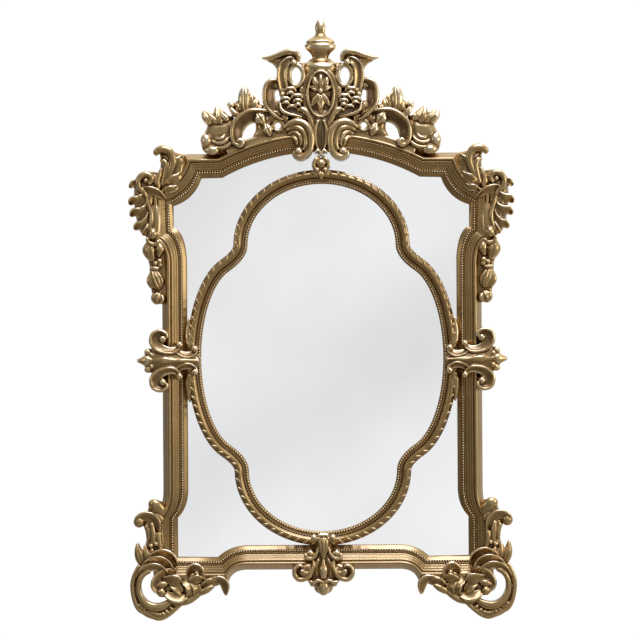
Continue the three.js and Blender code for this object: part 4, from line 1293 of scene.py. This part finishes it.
def glassMaterial():
    material, tree, shader = surface("silveredGlass")
    place = node(tree, "ShaderNodeTexCoord")
    haze = node(tree, "ShaderNodeTexNoise", glassLook["haze"])
    tint = ramp(tree, glassLook["foxed"], glassLook["silver"])
    gloss = node(tree, "ShaderNodeMapRange", glassLook["gloss"])
    wire(
        tree,
        (place, "Object", haze, "Vector"),
        (haze, "Fac", tint, "Fac"),
        (tint, "Color", shader, "Base Color"),
        (haze, "Fac", gloss, "Value"),
        (gloss, "Result", shader, "Roughness"),
    )
    shader.inputs["Metallic"].default_value = 1
    return material


boardLook = {
    "dark": (0.34, (0.13, 0.08, 0.045, 1)),
    "light": (0.66, (0.26, 0.17, 0.095, 1)),
    "stretch": {"Scale": (6, 6, 0.5)},
    "grain": {"Scale": 9, "Detail": 7, "Distortion": 0.6},
    "bump": {"Strength": 0.3, "Distance": 0.5 * mm},
    "roughness": 0.75,
}


def boardMaterial():
    material, tree, shader = surface("backBoard")
    place = node(tree, "ShaderNodeTexCoord")
    along = node(tree, "ShaderNodeMapping", boardLook["stretch"])
    grain = node(tree, "ShaderNodeTexNoise", boardLook["grain"])
    tint = ramp(tree, boardLook["dark"], boardLook["light"])
    bump = node(tree, "ShaderNodeBump", boardLook["bump"])
    wire(
        tree,
        (place, "Object", along, "Vector"),
        (along, "Vector", grain, "Vector"),
        (grain, "Fac", tint, "Fac"),
        (tint, "Color", shader, "Base Color"),
        (grain, "Fac", bump, "Height"),
        (bump, "Normal", shader, "Normal"),
    )
    shader.inputs["Roughness"].default_value = boardLook["roughness"]
    return material


for name, material in (("mirror_glass", glassMaterial()), ("back_board", boardMaterial())):
    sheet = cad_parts[name]
    sheet.data.materials.clear()
    sheet.data.materials.append(material)
print("glass and board")


# Studio: a white room, light from above and the right, and a pale banded screen for the mirror to show.
studio = {
    "floorDrop": 0.28,
    "floorSize": 3.4,
    "floorBehind": 0.8,  # share of half the floor that lies behind the wall plane
    "floorColour": (0.82, 0.82, 0.82, 1),
    "screenBack": 60,
    "screenSize": 13,
    "bandLean": math.radians(30),
    "bandReach": {"From Min": -0.65, "From Max": 0.65},  # metres on the glass
    "bands": [(0, 0.96), (0.23, 0.94), (0.36, 0.74), (0.5, 0.92), (0.67, 0.93), (0.85, 0.82), (1, 0.76)],
    "cameraBack": 9,
    "viewMetres": 1.6,
    "viewAcross": -2 * square,
    "viewUp": 37.5 * square,
    "roll": math.radians(0.35),
    "sensor": 36,
    # place, aim, size, power, colour
    "lamps": {
        "overhead": ((0.5, -1.7, 2.8), (0, 0, 0.1), 2.4, 72, (0.8, 0.92, 1.42)),
        "rightSoft": ((2.7, -1.5, 0.5), (0, 0, 0), 1.6, 17, (1, 0.98, 0.95)),
        "leftSoft": ((-2.7, -1.7, 0.7), (0, 0, 0), 1.2, 4.5, (1, 0.98, 0.95)),
    },
    "roomRise": [(0, 0.34, 0.31, 0.28), (0.42, 0.31, 0.31, 0.31), (0.56, 0.33, 0.33, 0.33),
                 (0.76, 0.52, 0.52, 0.52), (1, 1, 1, 1)],  # dim below, bright overhead
    "roomSwing": {"From Min": -1, "To Min": 0.55, "To Max": 1.6},  # the right of the room is the brighter
    "roomWall": {"To Min": 1, "To Max": 2.1},  # so is the pale wall behind
    "backdrop": 1.02,
}


def flat(name, corners, material):
    mesh = bpy.data.meshes.new(name)
    mesh.from_pydata(corners, [], [[0, 1, 2, 3]])
    mesh.materials.append(material)
    return linked(name, mesh)


pale, _, shader = surface("floorPale")
shader.inputs["Base Color"].default_value = studio["floorColour"]
shader.inputs["Roughness"].default_value = 0.8
low = cadBox[0].z - studio["floorDrop"]
half = studio["floorSize"] / 2
rear = half * studio["floorBehind"]
floor = flat("floor", [(-half, -half, low), (half, -half, low), (half, rear, low), (-half, rear, low)], pale)
floor.visible_glossy = False  # the mirror hangs on a wall, so its underside sees no floor


def screenMaterial():
    material, tree, _ = surface("screenLight")
    tree.nodes.clear()
    lean = studio["bandLean"]
    size = 1 + studio["screenBack"] / studio["cameraBack"]
    place = node(tree, "ShaderNodeTexCoord")
    across = node(tree, "ShaderNodeVectorMath", operation="DOT_PRODUCT")  # metres across the bands
    across.inputs[1].default_value = (-math.sin(lean) / size, 0, math.cos(lean) / size)
    share = node(tree, "ShaderNodeMapRange", studio["bandReach"])
    tone = ramp(tree, *((mark, (grey, grey, grey * 1.005, 1)) for mark, grey in studio["bands"]))
    tone.color_ramp.interpolation = "B_SPLINE"
    glow = node(tree, "ShaderNodeEmission")
    out = node(tree, "ShaderNodeOutputMaterial")
    wire(
        tree,
        (place, "Object", across, 0),
        (across, "Value", share, "Value"),
        (share, "Result", tone, "Fac"),
        (tone, "Color", glow, "Color"),
        (glow, "Emission", out, "Surface"),
    )
    return material


half = studio["screenSize"] / 2
back = -studio["screenBack"]
screen = flat("screen", [(-half, back, -half), (half, back, -half), (half, back, half), (-half, back, half)],
              screenMaterial())
screen.visible_camera = False
screen.visible_diffuse = False
screen.visible_shadow = False

for name, (place, aim, size, power, colour) in studio["lamps"].items():
    lamp = bpy.data.lights.new(name, "AREA")
    lamp.shape = "DISK"
    lamp.size = size
    lamp.energy = power
    lamp.color = colour
    light = linked(name, lamp)
    light.location = place
    light.rotation_mode = "QUATERNION"
    light.rotation_quaternion = (Vector(aim) - Vector(place)).to_track_quat("-Z", "Y")


def room():
    world = bpy.data.worlds.new("room")
    bpy.context.scene.world = world
    world.use_nodes = True
    tree = world.node_tree
    tree.nodes.clear()
    place = node(tree, "ShaderNodeTexCoord")
    parts = node(tree, "ShaderNodeSeparateXYZ")
    rise = ramp(tree, *((mark[0], (*mark[1:], 1)) for mark in studio["roomRise"]))
    lift = node(tree, "ShaderNodeMapRange", {"From Min": -1})
    swing = node(tree, "ShaderNodeMapRange", studio["roomSwing"])
    wall = node(tree, "ShaderNodeMapRange", studio["roomWall"])
    gain = node(tree, "ShaderNodeMath", operation="MULTIPLY")
    soft = node(tree, "ShaderNodeBackground")
    white = node(tree, "ShaderNodeBackground", {"Color": (1, 1, 1, 1), "Strength": studio["backdrop"]})
    path = node(tree, "ShaderNodeLightPath")
    pick = node(tree, "ShaderNodeMixShader")
    out = node(tree, "ShaderNodeOutputWorld")
    wire(
        tree,
        (place, "Generated", parts, "Vector"),
        (parts, "Z", lift, "Value"),
        (lift, "Result", rise, "Fac"),
        (rise, "Color", soft, "Color"),
        (parts, "X", swing, "Value"),
        (parts, "Y", wall, "Value"),
        (swing, "Result", gain, 0),
        (wall, "Result", gain, 1),
        (gain, 0, soft, "Strength"),
        (path, "Is Camera Ray", pick, "Fac"),
        (soft, "Background", pick, 1),
        (white, "Background", pick, 2),
        (pick, "Shader", out, "Surface"),
    )


room()
bpy.context.scene.view_settings.view_transform = "Standard"

lens = bpy.data.cameras.new("camera")
lens.sensor_width = studio["sensor"]
lens.lens = studio["sensor"] * studio["cameraBack"] / studio["viewMetres"]
camera = linked("camera", lens)
camera.location = (studio["viewAcross"], -studio["cameraBack"], studio["viewUp"])
camera.rotation_euler = (math.pi / 2, studio["roll"], 0)
bpy.context.scene.camera = camera
print("studio")
